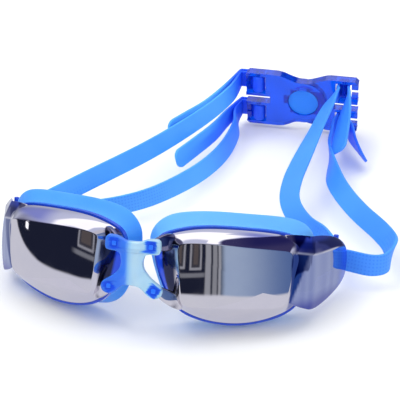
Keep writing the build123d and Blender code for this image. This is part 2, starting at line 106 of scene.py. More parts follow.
# ------------------------------------------------------------------ camera first, at the angle the object is seen from
AZ, EL, DIST = radians(13.73), radians(28.0), 0.465
bv = Vector((sin(AZ) * cos(EL), -cos(AZ) * cos(EL), sin(EL)))
target = Vector(wd(25.73, 0, 33.96))
cam_d = bpy.data.cameras.new("camera")
cam = bpy.data.objects.new("camera", cam_d)
bpy.context.scene.collection.objects.link(cam)
cam.location = target + bv * DIST
cam.rotation_mode = "XYZ"
cam.rotation_euler = bv.to_track_quat("Z", "Y").to_euler()
cam_d.sensor_width = 36.0
cam_d.lens = 1231.7 * 36 / 400
cam_d.clip_start = 0.01
bpy.context.scene.camera = cam
bpy.context.scene.view_settings.view_transform = "Standard"


# ------------------------------------------------------------------ material helpers
def new_mat(name):
    m = bpy.data.materials.new(name)
    m.use_nodes = True
    nt = m.node_tree
    nt.nodes.clear()
    out = nt.nodes.new("ShaderNodeOutputMaterial")
    p = nt.nodes.new("ShaderNodeBsdfPrincipled")
    nt.links.new(p.outputs[0], out.inputs[0])
    return m, nt, p


def put(p, **kw):
    names = {"metallic": "Metallic", "rough": "Roughness", "ior": "IOR", "trans": "Transmission Weight", "coat": "Coat Weight", "coat_r": "Coat Roughness",
             "sss": "Subsurface Weight", "sss_s": "Subsurface Scale", "spec": "Specular IOR Level", "sheen": "Sheen Weight", "sheen_r": "Sheen Roughness"}
    for k, v in kw.items():
        if k == "color":
            p.inputs["Base Color"].default_value = (*v, 1)
        elif k == "radius":
            p.inputs["Subsurface Radius"].default_value = v
        else:
            p.inputs[names[k]].default_value = v


def node(nt, kind, **kw):
    n = nt.nodes.new("ShaderNode" + kind)
    for k, v in kw.items():
        if k in n.inputs:
            n.inputs[k].default_value = v
        else:
            setattr(n, k, v)
    return n


def noise(nt, scale, detail=3.0, rough=0.5, coord="Object"):
    tc = node(nt, "TexCoord")
    n = node(nt, "TexNoise")
    n.inputs["Scale"].default_value = scale
    n.inputs["Detail"].default_value = detail
    n.inputs["Roughness"].default_value = rough
    nt.links.new(tc.outputs[coord], n.inputs["Vector"])
    return n.outputs["Fac"] if "Fac" in n.outputs else n.outputs[0]


def ramp(nt, src, stops, interp="LINEAR"):
    r = node(nt, "ValToRGB")
    cr = r.color_ramp
    cr.interpolation = interp
    while len(cr.elements) > 1:
        cr.elements.remove(cr.elements[-1])
    cr.elements[0].position = stops[0][0]
    cr.elements[0].color = (*stops[0][1], 1) if len(stops[0][1]) == 3 else stops[0][1]
    for pos, col in stops[1:]:
        e = cr.elements.new(pos)
        e.color = (*col, 1) if len(col) == 3 else col
    nt.links.new(src, r.inputs["Fac"])
    return r.outputs["Color"]


def bump(nt, p, h, strength=0.2, dist=0.0003):
    b = node(nt, "Bump")
    b.inputs["Strength"].default_value = strength
    b.inputs["Distance"].default_value = dist
    nt.links.new(h, b.inputs["Height"])
    nt.links.new(b.outputs[0], p.inputs["Normal"])
    return b


def g(v):
    return (v, v, v)


def attr(nt, name):
    a = node(nt, "Attribute")
    a.attribute_name = name
    return a


# mirror coat on blue polycarbonate: silver in front, thinning into clear dark blue on the nose walls and along the top
# of the temple tail; the coat colour also carries painted reflections on the cheek, tail side and top wall
def mat_mirror():
    m, nt, p = new_mat("lens_mirror")
    a = attr(nt, "coat")
    smear = noise(nt, 120, 4, 0.6)
    cloud = noise(nt, 22, 2, 0.5)
    mix = node(nt, "MixRGB", blend_type="MULTIPLY")
    mix.inputs[0].default_value = 0.5
    nt.links.new(a.outputs["Color"], mix.inputs[1])
    nt.links.new(ramp(nt, smear, [(0.3, (0.90, 0.91, 0.95)), (0.7, (1, 1, 1))]), mix.inputs[2])
    m2 = node(nt, "MixRGB", blend_type="MULTIPLY")
    m2.inputs[0].default_value = 0.6
    nt.links.new(mix.outputs[0], m2.inputs[1])
    nt.links.new(ramp(nt, cloud, [(0.35, (0.93, 0.92, 0.98)), (0.65, (1, 0.985, 0.97))]), m2.inputs[2])
    nt.links.new(m2.outputs[0], p.inputs["Base Color"])
    nt.links.new(attr(nt, "metal").outputs["Fac"], p.inputs["Metallic"])
    nt.links.new(ramp(nt, smear, [(0.35, g(0.02)), (0.75, g(0.06))]), p.inputs["Roughness"])
    put(p, coat=0.1, coat_r=0.03)
    bump(nt, p, noise(nt, 45, 2), 0.02, 0.0002)
    return m


def mat_clear_blue(name, base, rough=0.06, trans=0.85, dark=0.55):
    m, nt, p = new_mat(name)
    n = noise(nt, 90, 3)
    mix = node(nt, "MixRGB", blend_type="MIX")
    nt.links.new(ramp(nt, n, [(0.35, g(0.0)), (0.7, g(1.0))]), mix.inputs[0])
    mix.inputs[1].default_value = (*[b * (1 - 0.25 * dark) for b in base], 1)
    mix.inputs[2].default_value = (*base, 1)
    nt.links.new(mix.outputs[0], p.inputs["Base Color"])
    nt.links.new(ramp(nt, n, [(0.3, g(rough)), (0.8, g(rough + 0.06))]), p.inputs["Roughness"])
    put(p, trans=trans, ior=1.5, coat=0.3, coat_r=0.05)
    bump(nt, p, noise(nt, 200, 2), 0.04, 0.0002)
    return m


# soft clear bridge: palest down its middle; painted shade makes its left half darker blue, standing in for the left
# seal seen through it; its four feet are darker blue too
def mat_bridge():
    m, nt, p = new_mat("bridge_silicone")
    n = noise(nt, 70, 3)
    a = attr(nt, "bridge_shade_and_feet")
    col = ramp(nt, a.outputs["Fac"], [(0.0, (0.60, 0.86, 1.0)), (0.35, (0.34, 0.68, 1.0)), (0.65, (0.07, 0.28, 1.0)), (1.0, (0.015, 0.11, 0.95))])
    mix = node(nt, "MixRGB", blend_type="MULTIPLY")
    mix.inputs[0].default_value = 0.6
    nt.links.new(col, mix.inputs[1])
    nt.links.new(ramp(nt, n, [(0.3, (0.92, 0.95, 1.0)), (0.7, (1, 1, 1))]), mix.inputs[2])
    nt.links.new(mix.outputs[0], p.inputs["Base Color"])
    nt.links.new(ramp(nt, n, [(0.3, g(0.12)), (0.8, g(0.22))]), p.inputs["Roughness"])
    put(p, trans=0.32, ior=1.41, sss=0.2, sss_s=0.002, radius=(0.6, 0.9, 1.0), coat=0.2, coat_r=0.1)
    bump(nt, p, noise(nt, 260, 2), 0.05, 0.0002)
    return m


def mat_silicone(name, lo, hi, rough=0.42, sss=0.35, trans=0.0, scale=110, dots=False):
    m, nt, p = new_mat(name)
    n = noise(nt, scale, 4, 0.6)
    big = noise(nt, 28, 2, 0.5)
    col = ramp(nt, big, [(0.3, lo), (0.7, hi)])
    mix = node(nt, "MixRGB", blend_type="MULTIPLY")
    mix.inputs[0].default_value = 0.5
    nt.links.new(col, mix.inputs[1])
    nt.links.new(ramp(nt, n, [(0.3, (0.90, 0.93, 0.97)), (0.7, (1, 1, 1))]), mix.inputs[2])
    last = mix.outputs[0]
    fine = noise(nt, 900, 3, 0.6)
    h = fine
    if dots:
        uvn = node(nt, "UVMap", uv_map="strap")
        mp = node(nt, "Mapping")
        mp.inputs["Scale"].default_value = (1.0, 1.0, 1.0)
        nt.links.new(uvn.outputs[0], mp.inputs[0])
        sep = node(nt, "SeparateXYZ")
        nt.links.new(mp.outputs[0], sep.inputs[0])

        def cell(sock, period, shift=0.0):
            d = node(nt, "Math", operation="MULTIPLY")
            d.inputs[1].default_value = 1.0 / period
            nt.links.new(sock, d.inputs[0])
            ad = node(nt, "Math", operation="ADD")
            ad.inputs[1].default_value = shift
            nt.links.new(d.outputs[0], ad.inputs[0])
            f = node(nt, "Math", operation="FRACT")
            nt.links.new(ad.outputs[0], f.inputs[0])
            c = node(nt, "Math", operation="SUBTRACT")
            c.inputs[1].default_value = 0.5
            nt.links.new(f.outputs[0], c.inputs[0])
            q = node(nt, "Math", operation="MULTIPLY")
            q.inputs[1].default_value = period
            nt.links.new(c.outputs[0], q.inputs[0])
            return q.outputs[0]

        cx, cy = cell(sep.outputs[0], 1.5), cell(sep.outputs[1], 1.6)
        comb = node(nt, "CombineXYZ")
        nt.links.new(cx, comb.inputs[0])
        nt.links.new(cy, comb.inputs[1])
        ln = node(nt, "VectorMath", operation="LENGTH")
        nt.links.new(comb.outputs[0], ln.inputs[0])
        dot = ramp(nt, ln.outputs["Value"], [(0.28, g(1.0)), (0.5, g(0.0))])
        mask = attr(nt, "dots")
        mm = node(nt, "Math", operation="MULTIPLY")
        nt.links.new(dot, mm.inputs[0])
        nt.links.new(mask.outputs["Fac"], mm.inputs[1])
        dk = node(nt, "MixRGB", blend_type="MULTIPLY")
        nt.links.new(mm.outputs[0], dk.inputs[0])
        nt.links.new(last, dk.inputs[1])
        dk.inputs[2].default_value = (0.66, 0.80, 0.95, 1)
        last = dk.outputs[0]
        # painted shade: where strap_shade is set, the strap colour is multiplied towards a darker saturated blue
        strap_shade = attr(nt, "strap_shade")
        dp = node(nt, "MixRGB", blend_type="MULTIPLY")
        nt.links.new(strap_shade.outputs["Fac"], dp.inputs[0])
        nt.links.new(last, dp.inputs[1])
        dp.inputs[2].default_value = (0.16, 0.29, 1.0, 1)
        last = dp.outputs[0]
        sub = node(nt, "Math", operation="MULTIPLY_ADD")
        sub.inputs[1].default_value = -1.8
        nt.links.new(mm.outputs[0], sub.inputs[0])
        nt.links.new(fine, sub.inputs[2])
        h = sub.outputs[0]
    nt.links.new(last, p.inputs["Base Color"])
    nt.links.new(ramp(nt, n, [(0.3, g(rough)), (0.8, g(rough + 0.12))]), p.inputs["Roughness"])
    put(p, sss=sss, sss_s=0.002, radius=(0.4, 0.8, 1.0), trans=trans, ior=1.41)
    bump(nt, p, h, 0.12, 0.0002)
    return m


M_MIRROR = mat_mirror()
M_RIM = mat_clear_blue("rim_blue", (0.025, 0.11, 0.90), 0.08, 0.35)
# the left seal is a darker copy of the same silicone: painted shade
M_SEAL = {"right": mat_silicone("seal_silicone", (0.11, 0.42, 1.0), (0.145, 0.49, 1.0), 0.36, 0.3, 0.12),
          "left": mat_silicone("seal_silicone_shaded", (0.05, 0.315, 1.0), (0.075, 0.37, 1.0), 0.36, 0.3, 0.12)}
M_BRIDGE = mat_bridge()
# the left band is a lighter copy of the same silicone: painted light
M_STRAP = {"right": mat_silicone("strap_silicone", (0.044, 0.27, 1.0), (0.060, 0.31, 1.0), 0.44, 0.18, 0.0, dots=True),
           "left": mat_silicone("strap_silicone_lit", (0.070, 0.375, 1.0), (0.095, 0.42, 1.0), 0.44, 0.18, 0.0, dots=True)}
M_BUCKLE = mat_clear_blue("buckle_blue", (0.0015, 0.115, 1.0), 0.05, 0.74)
M_BUTTON = mat_silicone("button_blue", (0.014, 0.27, 1.0), (0.022, 0.30, 1.0), 0.33, 0.1)
M_SPRING = mat_clear_blue("spring_blue", (0.02, 0.10, 0.8), 0.25, 0.3)


# ------------------------------------------------------------------ mesh helpers
def make_obj(name, V, F, mat, smooth=True, subsurf=0, attrs=None, uv=None):
    me = bpy.data.meshes.new(name)
    me.from_pydata([tuple(map(float, v)) for v in V], [], [tuple(map(int, f)) for f in F])
    me.update()
    if smooth:
        me.polygons.foreach_set("use_smooth", [True] * len(me.polygons))
    for k, vals in (attrs or {}).items():
        vals = np.asarray(vals, np.float32)
        if vals.ndim == 2:
            a = me.attributes.new(k, "FLOAT_COLOR", "POINT")
            a.data.foreach_set("color", np.c_[vals, np.ones(len(vals), np.float32)].ravel())
        else:
            a = me.attributes.new(k, "FLOAT", "POINT")
            a.data.foreach_set("value", vals)
    if uv is not None:
        l = me.uv_layers.new(name="strap")
        idx = np.zeros(len(me.loops), int)
        me.loops.foreach_get("vertex_index", idx)
        l.data.foreach_set("uv", np.asarray(uv, np.float32)[idx].ravel())
    me.materials.append(mat)
    o = bpy.data.objects.new(name, me)
    bpy.context.scene.collection.objects.link(o)
    if subsurf:
        md = o.modifiers.new("ss", "SUBSURF")
        md.levels = subsurf
        md.render_levels = subsurf
    return o


def grid_faces(nr, nc, closed_c=True, closed_r=False, base=0):
    F = []
    for i in range(nr if closed_r else nr - 1):
        for j in range(nc if closed_c else nc - 1):
            a, b = base + i * nc + j, base + i * nc + (j + 1) % nc
            c, d = base + ((i + 1) % nr) * nc + (j + 1) % nc, base + ((i + 1) % nr) * nc + j
            F.append((a, b, c, d))
    return F


def fix_normals(o):
    import bmesh
    bm = bmesh.new()
    bm.from_mesh(o.data)
    bmesh.ops.recalc_face_normals(bm, faces=bm.faces)
    bm.to_mesh(o.data)
    bm.free()


def periodic(pts, n, sigma=2.2):
    """closed smooth outline, n samples, the same index runs through the same corner on each outline"""
    P = np.array(pts, float)
    k = len(P)
    dense = 24
    out = []
    for i in range(k):
        p0, p1, p2, p3 = P[i - 1], P[i], P[(i + 1) % k], P[(i + 2) % k]
        for j in range(dense):
            t = j / dense
            out.append(0.5 * (2 * p1 + (p2 - p0) * t + (2 * p0 - 5 * p1 + 4 * p2 - p3) * t * t + (3 * p1 - p0 - 3 * p2 + p3) * t ** 3))
    out = np.array(out)
    # even spacing in index, softened
    s = sigma * dense / 10.0
    r = int(3 * s) + 1
    kern = np.exp(-0.5 * (np.arange(-r, r + 1) / s) ** 2)
    kern /= kern.sum()
    pad = np.vstack([out[-r:], out, out[:r]])
    sm = np.stack([np.convolve(pad[:, c], kern, "valid") for c in range(2)], 1)
    idx = np.linspace(0, len(sm), n, endpoint=False)
    i0 = idx.astype(int)
    f = (idx - i0)[:, None]
    return sm[i0] * (1 - f) + sm[(i0 + 1) % len(sm)] * f


def offs(P, t):
    d = np.roll(P, -1, 0) - np.roll(P, 1, 0)
    d /= np.linalg.norm(d, axis=1)[:, None]
    return P + np.stack([-d[:, 1], d[:, 0]], 1) * t


PANE = [(1.2, 12.2), (6, 12.6), (15, 12.2), (28, 11.0), (39, 10.0), (44.5, 9.2), (46.0, 6.5), (45.8, 0), (45.4, -7), (44.4, -12.2),
        (41, -14.3), (34, -14.6), (26, -14.6), (17, -14.4), (9, -14.0), (4, -13.6), (1.8, -11.5), (1.2, -6), (0.6, 1), (0.0, 7.5), (-0.1, 10.8)]
RIM = [(-3, 14.3), (5, 16.2), (15, 16.8), (29, 16), (42, 14.6), (49.4, 12), (53.2, 7.5), (54.7, 0), (54.3, -7), (51.6, -14),
       (46.6, -19), (38, -22.5), (28, -24.2), (18, -23.6), (9, -21.2), (2, -17), (-2, -11.5), (-5, -5), (-7.2, 2), (-7.8, 8.5), (-6.5, 12)]
SEAL = [(-2.7, 18.5), (4, 20.2), (16, 20.6), (30, 19.6), (44, 18.6), (53, 16.4), (58.0, 11), (59.3, 2), (58.6, -6), (55.5, -14.5),
        (49.5, -20), (39, -23.2), (28, -24.5), (17, -24.4), (7, -23), (0.5, -19), (-3, -13.5), (-5.5, -7), (-8, 1), (-9.3, 9), (-7.5, 14.5)]
NC = 126
pane = periodic(PANE, NC, 1.2)
rim = periodic(RIM, NC, 3.0)
seal = periodic(SEAL, NC, 3.5)
PC = np.array([22.5, -1.2])


def closed_rings(rings, centre0, centre1):
    """rings: list of (NC,3) arrays; centre0/centre1 close the ends"""
    V = np.vstack(rings + [centre0[None], centre1[None]])
    nr = len(rings)
    F = grid_faces(nr, NC)
    c0, c1 = nr * NC, nr * NC + 1
    F += [(c0, (j + 1) % NC, j) for j in range(NC)]
    F += [(c1, (nr - 1) * NC + j, (nr - 1) * NC + (j + 1) % NC) for j in range(NC)]
    return V, F


BOW, CROWN = 3.0, 0.65


def face_w(u, v):
    """the pane: one smooth surface, round the face and a little up and down"""
    q = 1 - ((u - 22.5) / 24.5) ** 2
    k = 1 - ((v + 1.0) / 13.8) ** 2
    return -BOW * q - CROWN * k


def front(u, v, t, w):
    """point on a wall: t goes from the pane (0) to the rim (1); the outline keeps its place as seen from in front and above"""
    u, v, t, w = np.broadcast_arrays(np.asarray(u, float), np.asarray(v, float), np.asarray(t, float), np.asarray(w, float))
    d = -face_w(np.clip(u, -1.5, 46.5), np.clip(v, -14.6, 12.6)) * np.clip(1 - t, 0, 1)
    return uvw(u, v + 0.28 * np.clip(d, 0, 9), w - d)


# ------------------------------------------------------------------ lenses: pane, crease, flared walls, rear rim, hollow inside
def lens_shell():
    rings = []
    for rho in (0.04, 0.12, 0.2, 0.28, 0.36, 0.44, 0.52, 0.6, 0.68, 0.76, 0.84, 0.91, 0.96, 0.988, 1.0):
        q = PC + (pane - PC) * rho
        rings.append(front(q[:, 0], q[:, 1], 0, 0))
    for t, push in ((0.03, 0.06), (0.08, 0.17), (0.14, 0.28), (0.23, 0.43), (0.32, 0.55), (0.42, 0.62), (0.52, 0.65), (0.62, 0.6), (0.72, 0.5), (0.8, 0.37), (0.88, 0.22), (0.97, 0.04), (1.0, 0.0)):
        q = pane * (1 - t) + rim * t
        q = offs(q, push)
        rings.append(front(q[:, 0], q[:, 1], t, LENS_DEPTH * t))
    for t in (0.06, 0.94, 1.0):
        q = offs(rim, -1.7 * t)
        rings.append(uvw(q[:, 0], q[:, 1], LENS_DEPTH))
    a, b = offs(rim, -1.7), offs(pane, -1.2)
    for t in (0.04, 0.5, 0.96, 1.0):
        q = a * (1 - t) + b * t
        rings.append(front(q[:, 0], q[:, 1], 1 - t, LENS_DEPTH * (1 - t) + 1.8 * t))
    for rho in (0.96, 0.7, 0.4, 0.12):
        q = PC + (b - PC) * rho
        rings.append(front(q[:, 0], q[:, 1], 0, 1.8))
    V, F = closed_rings(rings, front(PC[0], PC[1], 0, 0), front(PC[0], PC[1], 0, 1.8))
    return V, F, len(V)


def superellipse(h, t, n, k=0.35):
    """rounded bar section: n points, h high and t thick"""
    pts = []
    for i in range(n):
        a = 2 * pi * i / n
        ca, sa = cos(a), sin(a)
        pts.append((np.sign(ca) * abs(ca) ** k * t / 2, np.sign(sa) * abs(sa) ** k * h / 2))
    return np.array(pts)


TAIL_IN = np.array([0] * 20 + [1] * 7, float)


def lens_tail():
    """side wall and slanted top band of the temple tail, running on from the pane's outer edge and the top wall"""
    def S(k, n_=0.0):
        return TAIL_S[0] + k * tu + n_ * tw, TAIL_S[1] + k * tw - n_ * tu
    #      crease (u, w)      crease v, bottom v, back top edge (u, w), its v, wall
    st = [((45.3, 0.45), 8.9, -12.4, (43.0, 6.9), 14.2, 0.8), ((47.2, 1.25), 8.5, -13.3, (45.6, 7.2), 14.3, 1.1), ((49.8, 2.7), 7.8, -14.8, (48.6, 7.7), 14.1, 1.5),
          ((52.4, 4.25), 7.1, -16.1, (51.4, 8.5), 13.7, 1.8), ((54.6, 5.6), 6.5, -17.1, (53.8, 9.5), 13.2, 1.9), (S(0), 6.0, -17.8, S(1.6, -3.0), 12.8, 2.0),
          (S(4), 5.5, -18.2, S(5.2, -2.9), 12.2, 2.0), (S(9), 5.1, -17.8, S(9.8, -2.8), 11.3, 2.0), (S(14), 4.8, -16.9, S(14.5, -2.7), 10.2, 2.0), (S(19), 4.5, -15.6, S(19.3, -2.5), 8.8, 2.0),
          (S(23), 4.1, -14.2, S(23.1, -2.2), 7.3, 2.0), (S(25.6), 3.6, -12.8, S(25.6, -1.8), 5.8, 2.0), (S(27.3), 2.6, -11.4, S(27.2, -1.4), 4.2, 1.8), (S(28.2), 1.2, -10.2, S(28.1, -1.0), 2.4, 1.5),
          (S(28.55), 0.2, -9.2, S(28.45, -0.7), 1.0, 1.0)]
    P = np.array([a[0] for a in st])
    T = np.gradient(P, axis=0)
    T /= np.linalg.norm(T, axis=1)[:, None]
    rings = []
    for ((u, w), vc, vb, (ut, wt_), vt, th), t in zip(st, T):
        nu, nw = t[1], -t[0]
        pts = []
        h = vc - vb
        for f in (0.0, 0.012, 0.05, 0.12, 0.22, 0.34, 0.46, 0.58, 0.7, 0.82, 0.92, 0.975, 1.0):
            v = vb + h * f
            c = 0.9 * 4 * f * (1 - f) * min(1.0, h / 24) - (0.35 if f == 0 else 0.08 if f == 0.012 else 0)
            pts.append((u + nu * c, v, w + nw * c))
        for f in (0.06, 0.3, 0.55, 0.8, 0.95, 1.0):
            pts.append((u + (ut - u) * f, vc + (vt - vc) * f + 0.35 * 4 * f * (1 - f), w + (wt_ - w) * f))
        # round the back edge and return along the inside
        pts.append((ut - nu * 0.5, vt - 0.35, wt_ - nw * 0.5))
        pts.append((ut - nu * 0.7, vt - 1.1, wt_ - nw * 0.7))
        for f in (0.98, 0.8, 0.55, 0.3, 0.08, 0.0):
            v = vb + h * f
            c = 0.6 * 4 * f * (1 - f) * min(1.0, h / 24) - th - (-0.35 if f == 0 else 0)
            pts.append((u + nu * c, v, w + nw * c))
        out = np.array(pts)
        rings.append(uvw(out[:, 0], out[:, 1], out[:, 2]))
    nsec = len(rings[0])
    # finer along the tail
    R_ = np.array(rings)
    fine = []
    m = len(R_)
    for i_ in range(m - 1):
        p0, p1, p2, p3 = R_[max(i_ - 1, 0)], R_[i_], R_[i_ + 1], R_[min(i_ + 2, m - 1)]
        for k in range(3):
            t = k / 3
            fine.append(0.5 * (2 * p1 + (p2 - p0) * t + (2 * p0 - 5 * p1 + 4 * p2 - p3) * t * t + (3 * p1 - p0 - 3 * p2 + p3) * t ** 3))
    fine.append(R_[-1])
    rings = fine
    V = np.vstack(rings + [rings[0].mean(0)[None], rings[-1].mean(0)[None]])
    nr = len(rings)
    F = grid_faces(nr, nsec)
    F += [(nr * nsec, (j + 1) % nsec, j) for j in range(nsec)]
    F += [(nr * nsec + 1, (nr - 1) * nsec + j, (nr - 1) * nsec + (j + 1) % nsec) for j in range(nsec)]
    return V, F


def tube(points, radii, upv, n=20, k=0.5, squash=None):
    """rounded bar through points; radii = (half height, half thickness) at each"""
    P = np.array(points, float)
    T = np.gradient(P, axis=0)
    T /= np.linalg.norm(T, axis=1)[:, None]
    rings = []
    for p, t, (rh, rt) in zip(P, T, radii):
        w = upv - np.dot(upv, t) * t
        w /= np.linalg.norm(w)
        b = np.cross(t, w)
        sec = superellipse(2 * rh, 2 * rt, n, k)
        rings.append(p + sec[:, 1:2] * w + sec[:, 0:1] * b)
    V = np.vstack(rings + [P[0][None], P[-1][None]])
    nr = len(rings)
    F = grid_faces(nr, n)
    F += [(nr * n, (j + 1) % n, j) for j in range(n)]
    F += [(nr * n + 1, (nr - 1) * n + j, (nr - 1) * n + (j + 1) % n) for j in range(n)]
    return V, F


def join(parts):
    V, F, o = [], [], 0
    for v, f in parts:
        V.append(np.asarray(v))
        F += [tuple(i + o for i in ff) for ff in f]
        o += len(v)
    return np.vstack(V), F


def hermite(a, b, n, bend):
    a, b, bend = map(np.array, (a, b, bend))
    return [a * (1 - t) + b * t + bend * 4 * t * (1 - t) for t in np.linspace(0, 1, n)]


MM = 0.001
UPC = cupd(0, 0, 1)


def lugs():
    parts = []
    up = [cup(*q) for q in hermite((13.2, 3.4, 11.6), (7.0, -3.9, 12.0), 9, (0.3, -0.4, 0.4))]
    parts.append(tube(up, [(r * MM, t * MM) for r, t in zip((3.5, 3.6, 3.6, 3.5, 3.3, 3.0, 2.5, 2.0, 1.75), np.linspace(1.7, 0.95, 9))], UPC))
    lo = [cup(*q) for q in hermite((18.4, 4.2, -13.6), (8.8, -3.8, -5.6), 9, (-0.2, -0.4, -0.5))]
    parts.append(tube(lo, [(r * MM, t * MM) for r, t in zip((3.0, 3.0, 3.0, 2.9, 2.8, 2.6, 2.3, 1.9, 1.7), np.linspace(1.6, 0.95, 9))], UPC))
    for x, z in ((7.4, 12.0), (9.1, -5.8)):
        peg = [cup(x, y, z) for y in (-3.3, -3.6, -4.6, -7.4, -7.9, -8.05)]
        parts.append(tube(peg, [(a * MM, b * MM) for a, b in ((1.5, 1.6), (1.8, 1.9), (0.98, 0.98), (0.98, 0.98), (0.9, 0.9), (0.6, 0.6))], UPC, 24, 0.4))
    return join(parts)


def sm(x, a, b):
    t = np.clip((x - a) / (b - a), 0, 1)
    return t * t * (3 - 2 * t)


def local(V):
    """back from the row frame (m) to the right cup's own axes (mm): cup x, y, z and pane u, w"""
    L = V * 1000 - SH
    yc, zc = L[:, 1] * c_ - L[:, 2] * s_, L[:, 1] * s_ + L[:, 2] * c_
    x0 = L[:, 0] - PANE_U0
    return L[:, 0], yc, zc, x0 * cw + yc * sw, -x0 * sw + yc * cw


def coat_and_painted_reflections(V, inner):
    """colour and share of the mirror coat at each vertex of a right-hand lens, with painted reflections laid into the
    colour on the cheek, tail side and top wall
    """
    xc, yc, zc, U, W = local(V)
    col = np.tile(np.array([0.80, 0.775, 0.80]), (len(V), 1))
    metal = np.ones(len(V))

    def lay(mask, c, mt=None):
        nonlocal col, metal
        col = col * (1 - mask[:, None]) + np.array(c) * mask[:, None]
        if mt is not None:
            metal = metal * (1 - mask) + mt * mask

    # cheek and tail: lavender silver with soft upright streaks, a dark facet and darker navy towards the bottom, all
    # painted reflections of the room; the crease height falls along the tail
    crease = np.interp(U, [45, 47.2, 49.8, 52.4, 56.6, 62, 69, 74, 76], [8.9, 8.5, 7.8, 7.1, 6.0, 5.1, 4.4, 3.0, 1.0])
    side = sm(U, 45.6, 46.2) * (1 - sm(zc, crease - 0.25, crease + 0.15))
    lay(side, (0.37, 0.43, 0.66))
    reflection_streak = 0.5 + 0.5 * np.sin(U * 1.15 + 1.1 * np.sin(U * 0.47) + zc * 0.05)
    lay(side * reflection_streak * 0.5, (0.24, 0.29, 0.55))
    edge = 46.6 + (zc + 12.5) / 19.5 * 7.6
    # painted reflection: a dark blue facet on the cheek, between the pane's outer edge and a slanting line
    lay(sm(U, 45.5, 45.8) * (1 - sm(U, edge - 0.5, edge + 0.5)) * (1 - sm(zc, crease - 0.4, crease)) * sm(zc, -13.8, -12.6), (0.012, 0.05, 0.26))
    lay(side * (1 - sm(zc, -17.0, -10.0)) * 0.9, (0.075, 0.09, 0.42))
    lay(side * sm(U, 70.5, 74.5) * 0.7, (0.20, 0.30, 0.90))
    # top band of the tail is left almost clear, dark blue
    band_ = sm(U, 45.8, 48.0) * sm(zc, crease + 0.05, crease + 0.5)
    lay(band_, (0.002, 0.012, 0.17), 1.0)
    lay(band_ * sm(zc, crease + 3.6, crease + 5.6) * 0.7, (0.06, 0.12, 0.70))
    # top wall beside the temple: violet band, a painted reflection of the dark flag behind
    lay(sm(U, 20, 32) * sm(zc, 11.0, 13.0) * (1 - sm(W, 4.4, 6.4)) * (1 - sm(U, 45, 48)) * 0.85, (0.22, 0.24, 0.62))
    # nose wall: dark next to the pane, clear royal blue next to the rim
    nose = (1 - sm(U, -0.6, 0.3)) * sm(zc, -16.0, -13.0) * (1 - sm(zc, 9.0, 11.0)) * sm(W, 0.05, 0.4)
    lay(nose, (0.03, 0.035, 0.09), 0.9)
    lay(nose * sm(W, 4.7, 5.3), (0.02, 0.11, 0.95), 0.15)
    # upper lug: indigo
    lug = (1 - sm(xc, 13.8, 15.0)) * sm(zc, 7.5, 8.5) * (1 - sm(yc, 3.0, 4.5))
    lay(lug, (0.22, 0.21, 0.33))
    # pegs are clear
    lay((1 - sm(yc, -5.4, -4.6)) * (1 - sm(xc, 10.6, 11.2)), (0.03, 0.20, 1.0), 0.1)
    # seen from the eye's side the lens is a smoky blue
    lay(inner, (0.045, 0.10, 0.30), 0.0)
    return col, metal


for side in ("right", "left"):
    V1, F1, n1 = lens_shell()
    V2, F2 = lens_tail()
    V3, F3 = lugs()
    V, F = join([(V1, F1), (V2, F2), (V3, F3)])
    inner = np.zeros(len(V))
    inner[31 * NC:len(V1) - 2] = 1
    inner[len(V1) - 1] = 1
    inner[len(V1):len(V1) + len(V2) - 2] = np.tile(TAIL_IN, (len(V2) - 2) // len(TAIL_IN))
    coat, metal = coat_and_painted_reflections(V, inner)
    if side == "left":
        V = mirx(V)
    o = make_obj("lens_%s_shell" % side, V, F, M_MIRROR, attrs={"coat": coat, "metal": metal}, subsurf=1)
    fix_normals(o)
    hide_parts("lens_" + side)
    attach(o, "right_cup" if side == "right" else "main")


# ------------------------------------------------------------------ seals: a soft ring that flares to a rounded lip
def seal_ring():
    W0 = LENS_DEPTH + RIM_T
    prof = [(0.0, -0.2, W0), (0.02, 0.1, W0 + 0.25), (0.15, -0.5, W0 + 1.4), (0.42, -0.7, W0 + 3.2), (0.72, -0.2, W0 + 5.4), (0.93, 0.35, W0 + 7.1),
            (1.0, 0.35, W0 + 7.9), (1.0, -0.1, SEAL_BACK - 0.1), (0.985, -0.9, SEAL_BACK + 0.25), (0.96, -2.4, SEAL_BACK + 0.15), (0.93, -3.9, SEAL_BACK - 0.35), (0.9, -4.7, SEAL_BACK - 1.1),
            (0.75, -4.6, W0 + 5.6), (0.45, -3.9, W0 + 3.2), (0.15, -3.3, W0 + 1.2), (0.0, -3.2, W0), (0.0, -1.6, W0)]
    rings = []
    for t, o_, w in prof:
        q = offs(rim * (1 - t) + seal * t, o_)
        rings.append(uvw(q[:, 0], q[:, 1], w))
    V = np.vstack(rings)
    return V, grid_faces(len(rings), NC, True, True)


for side in ("right", "left"):
    V, F = seal_ring()
    if side == "left":
        V = mirx(V)
    o = make_obj("seal_%s_soft" % side, V, F, M_SEAL[side], subsurf=1)
    fix_normals(o)
    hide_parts("gasket_" + side)
    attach(o, "right_cup" if side == "right" else "main")


# ------------------------------------------------------------------ nose bridge
def bridge_outline(n=160):
    right = [(0, 13.0), (3.0, 13.1), (5.0, 13.9), (7.5, 14.5), (10.2, 14.3), (10.7, 12.0), (10.3, 9.6), (7.0, 9.3), (5.0, 8.6), (4.1, 6.6), (3.9, 4.4), (4.6, 1.8), (6.6, -0.8), (9.0, -2.8), (11.3, -4.4),
             (12.0, -6.2), (11.2, -8.0), (9.0, -8.6), (7.0, -7.8), (5.2, -5.9), (3.2, -4.4), (0, -3.8)]
    full = right + [(-x, z) for x, z in reversed(right[1:-1])]
    return periodic(full, n, 0.8)


def arch(x):
    return -1.9 * np.exp(-(x / 4.6) ** 2)


def bridge_mesh():
    import bmesh
    pts = bridge_outline()
    bm = bmesh.new()
    holes = [(7.4, 12.0), (-7.4, 12.0), (9.1, -5.8), (-9.1, -5.8)]
    return pts, holes


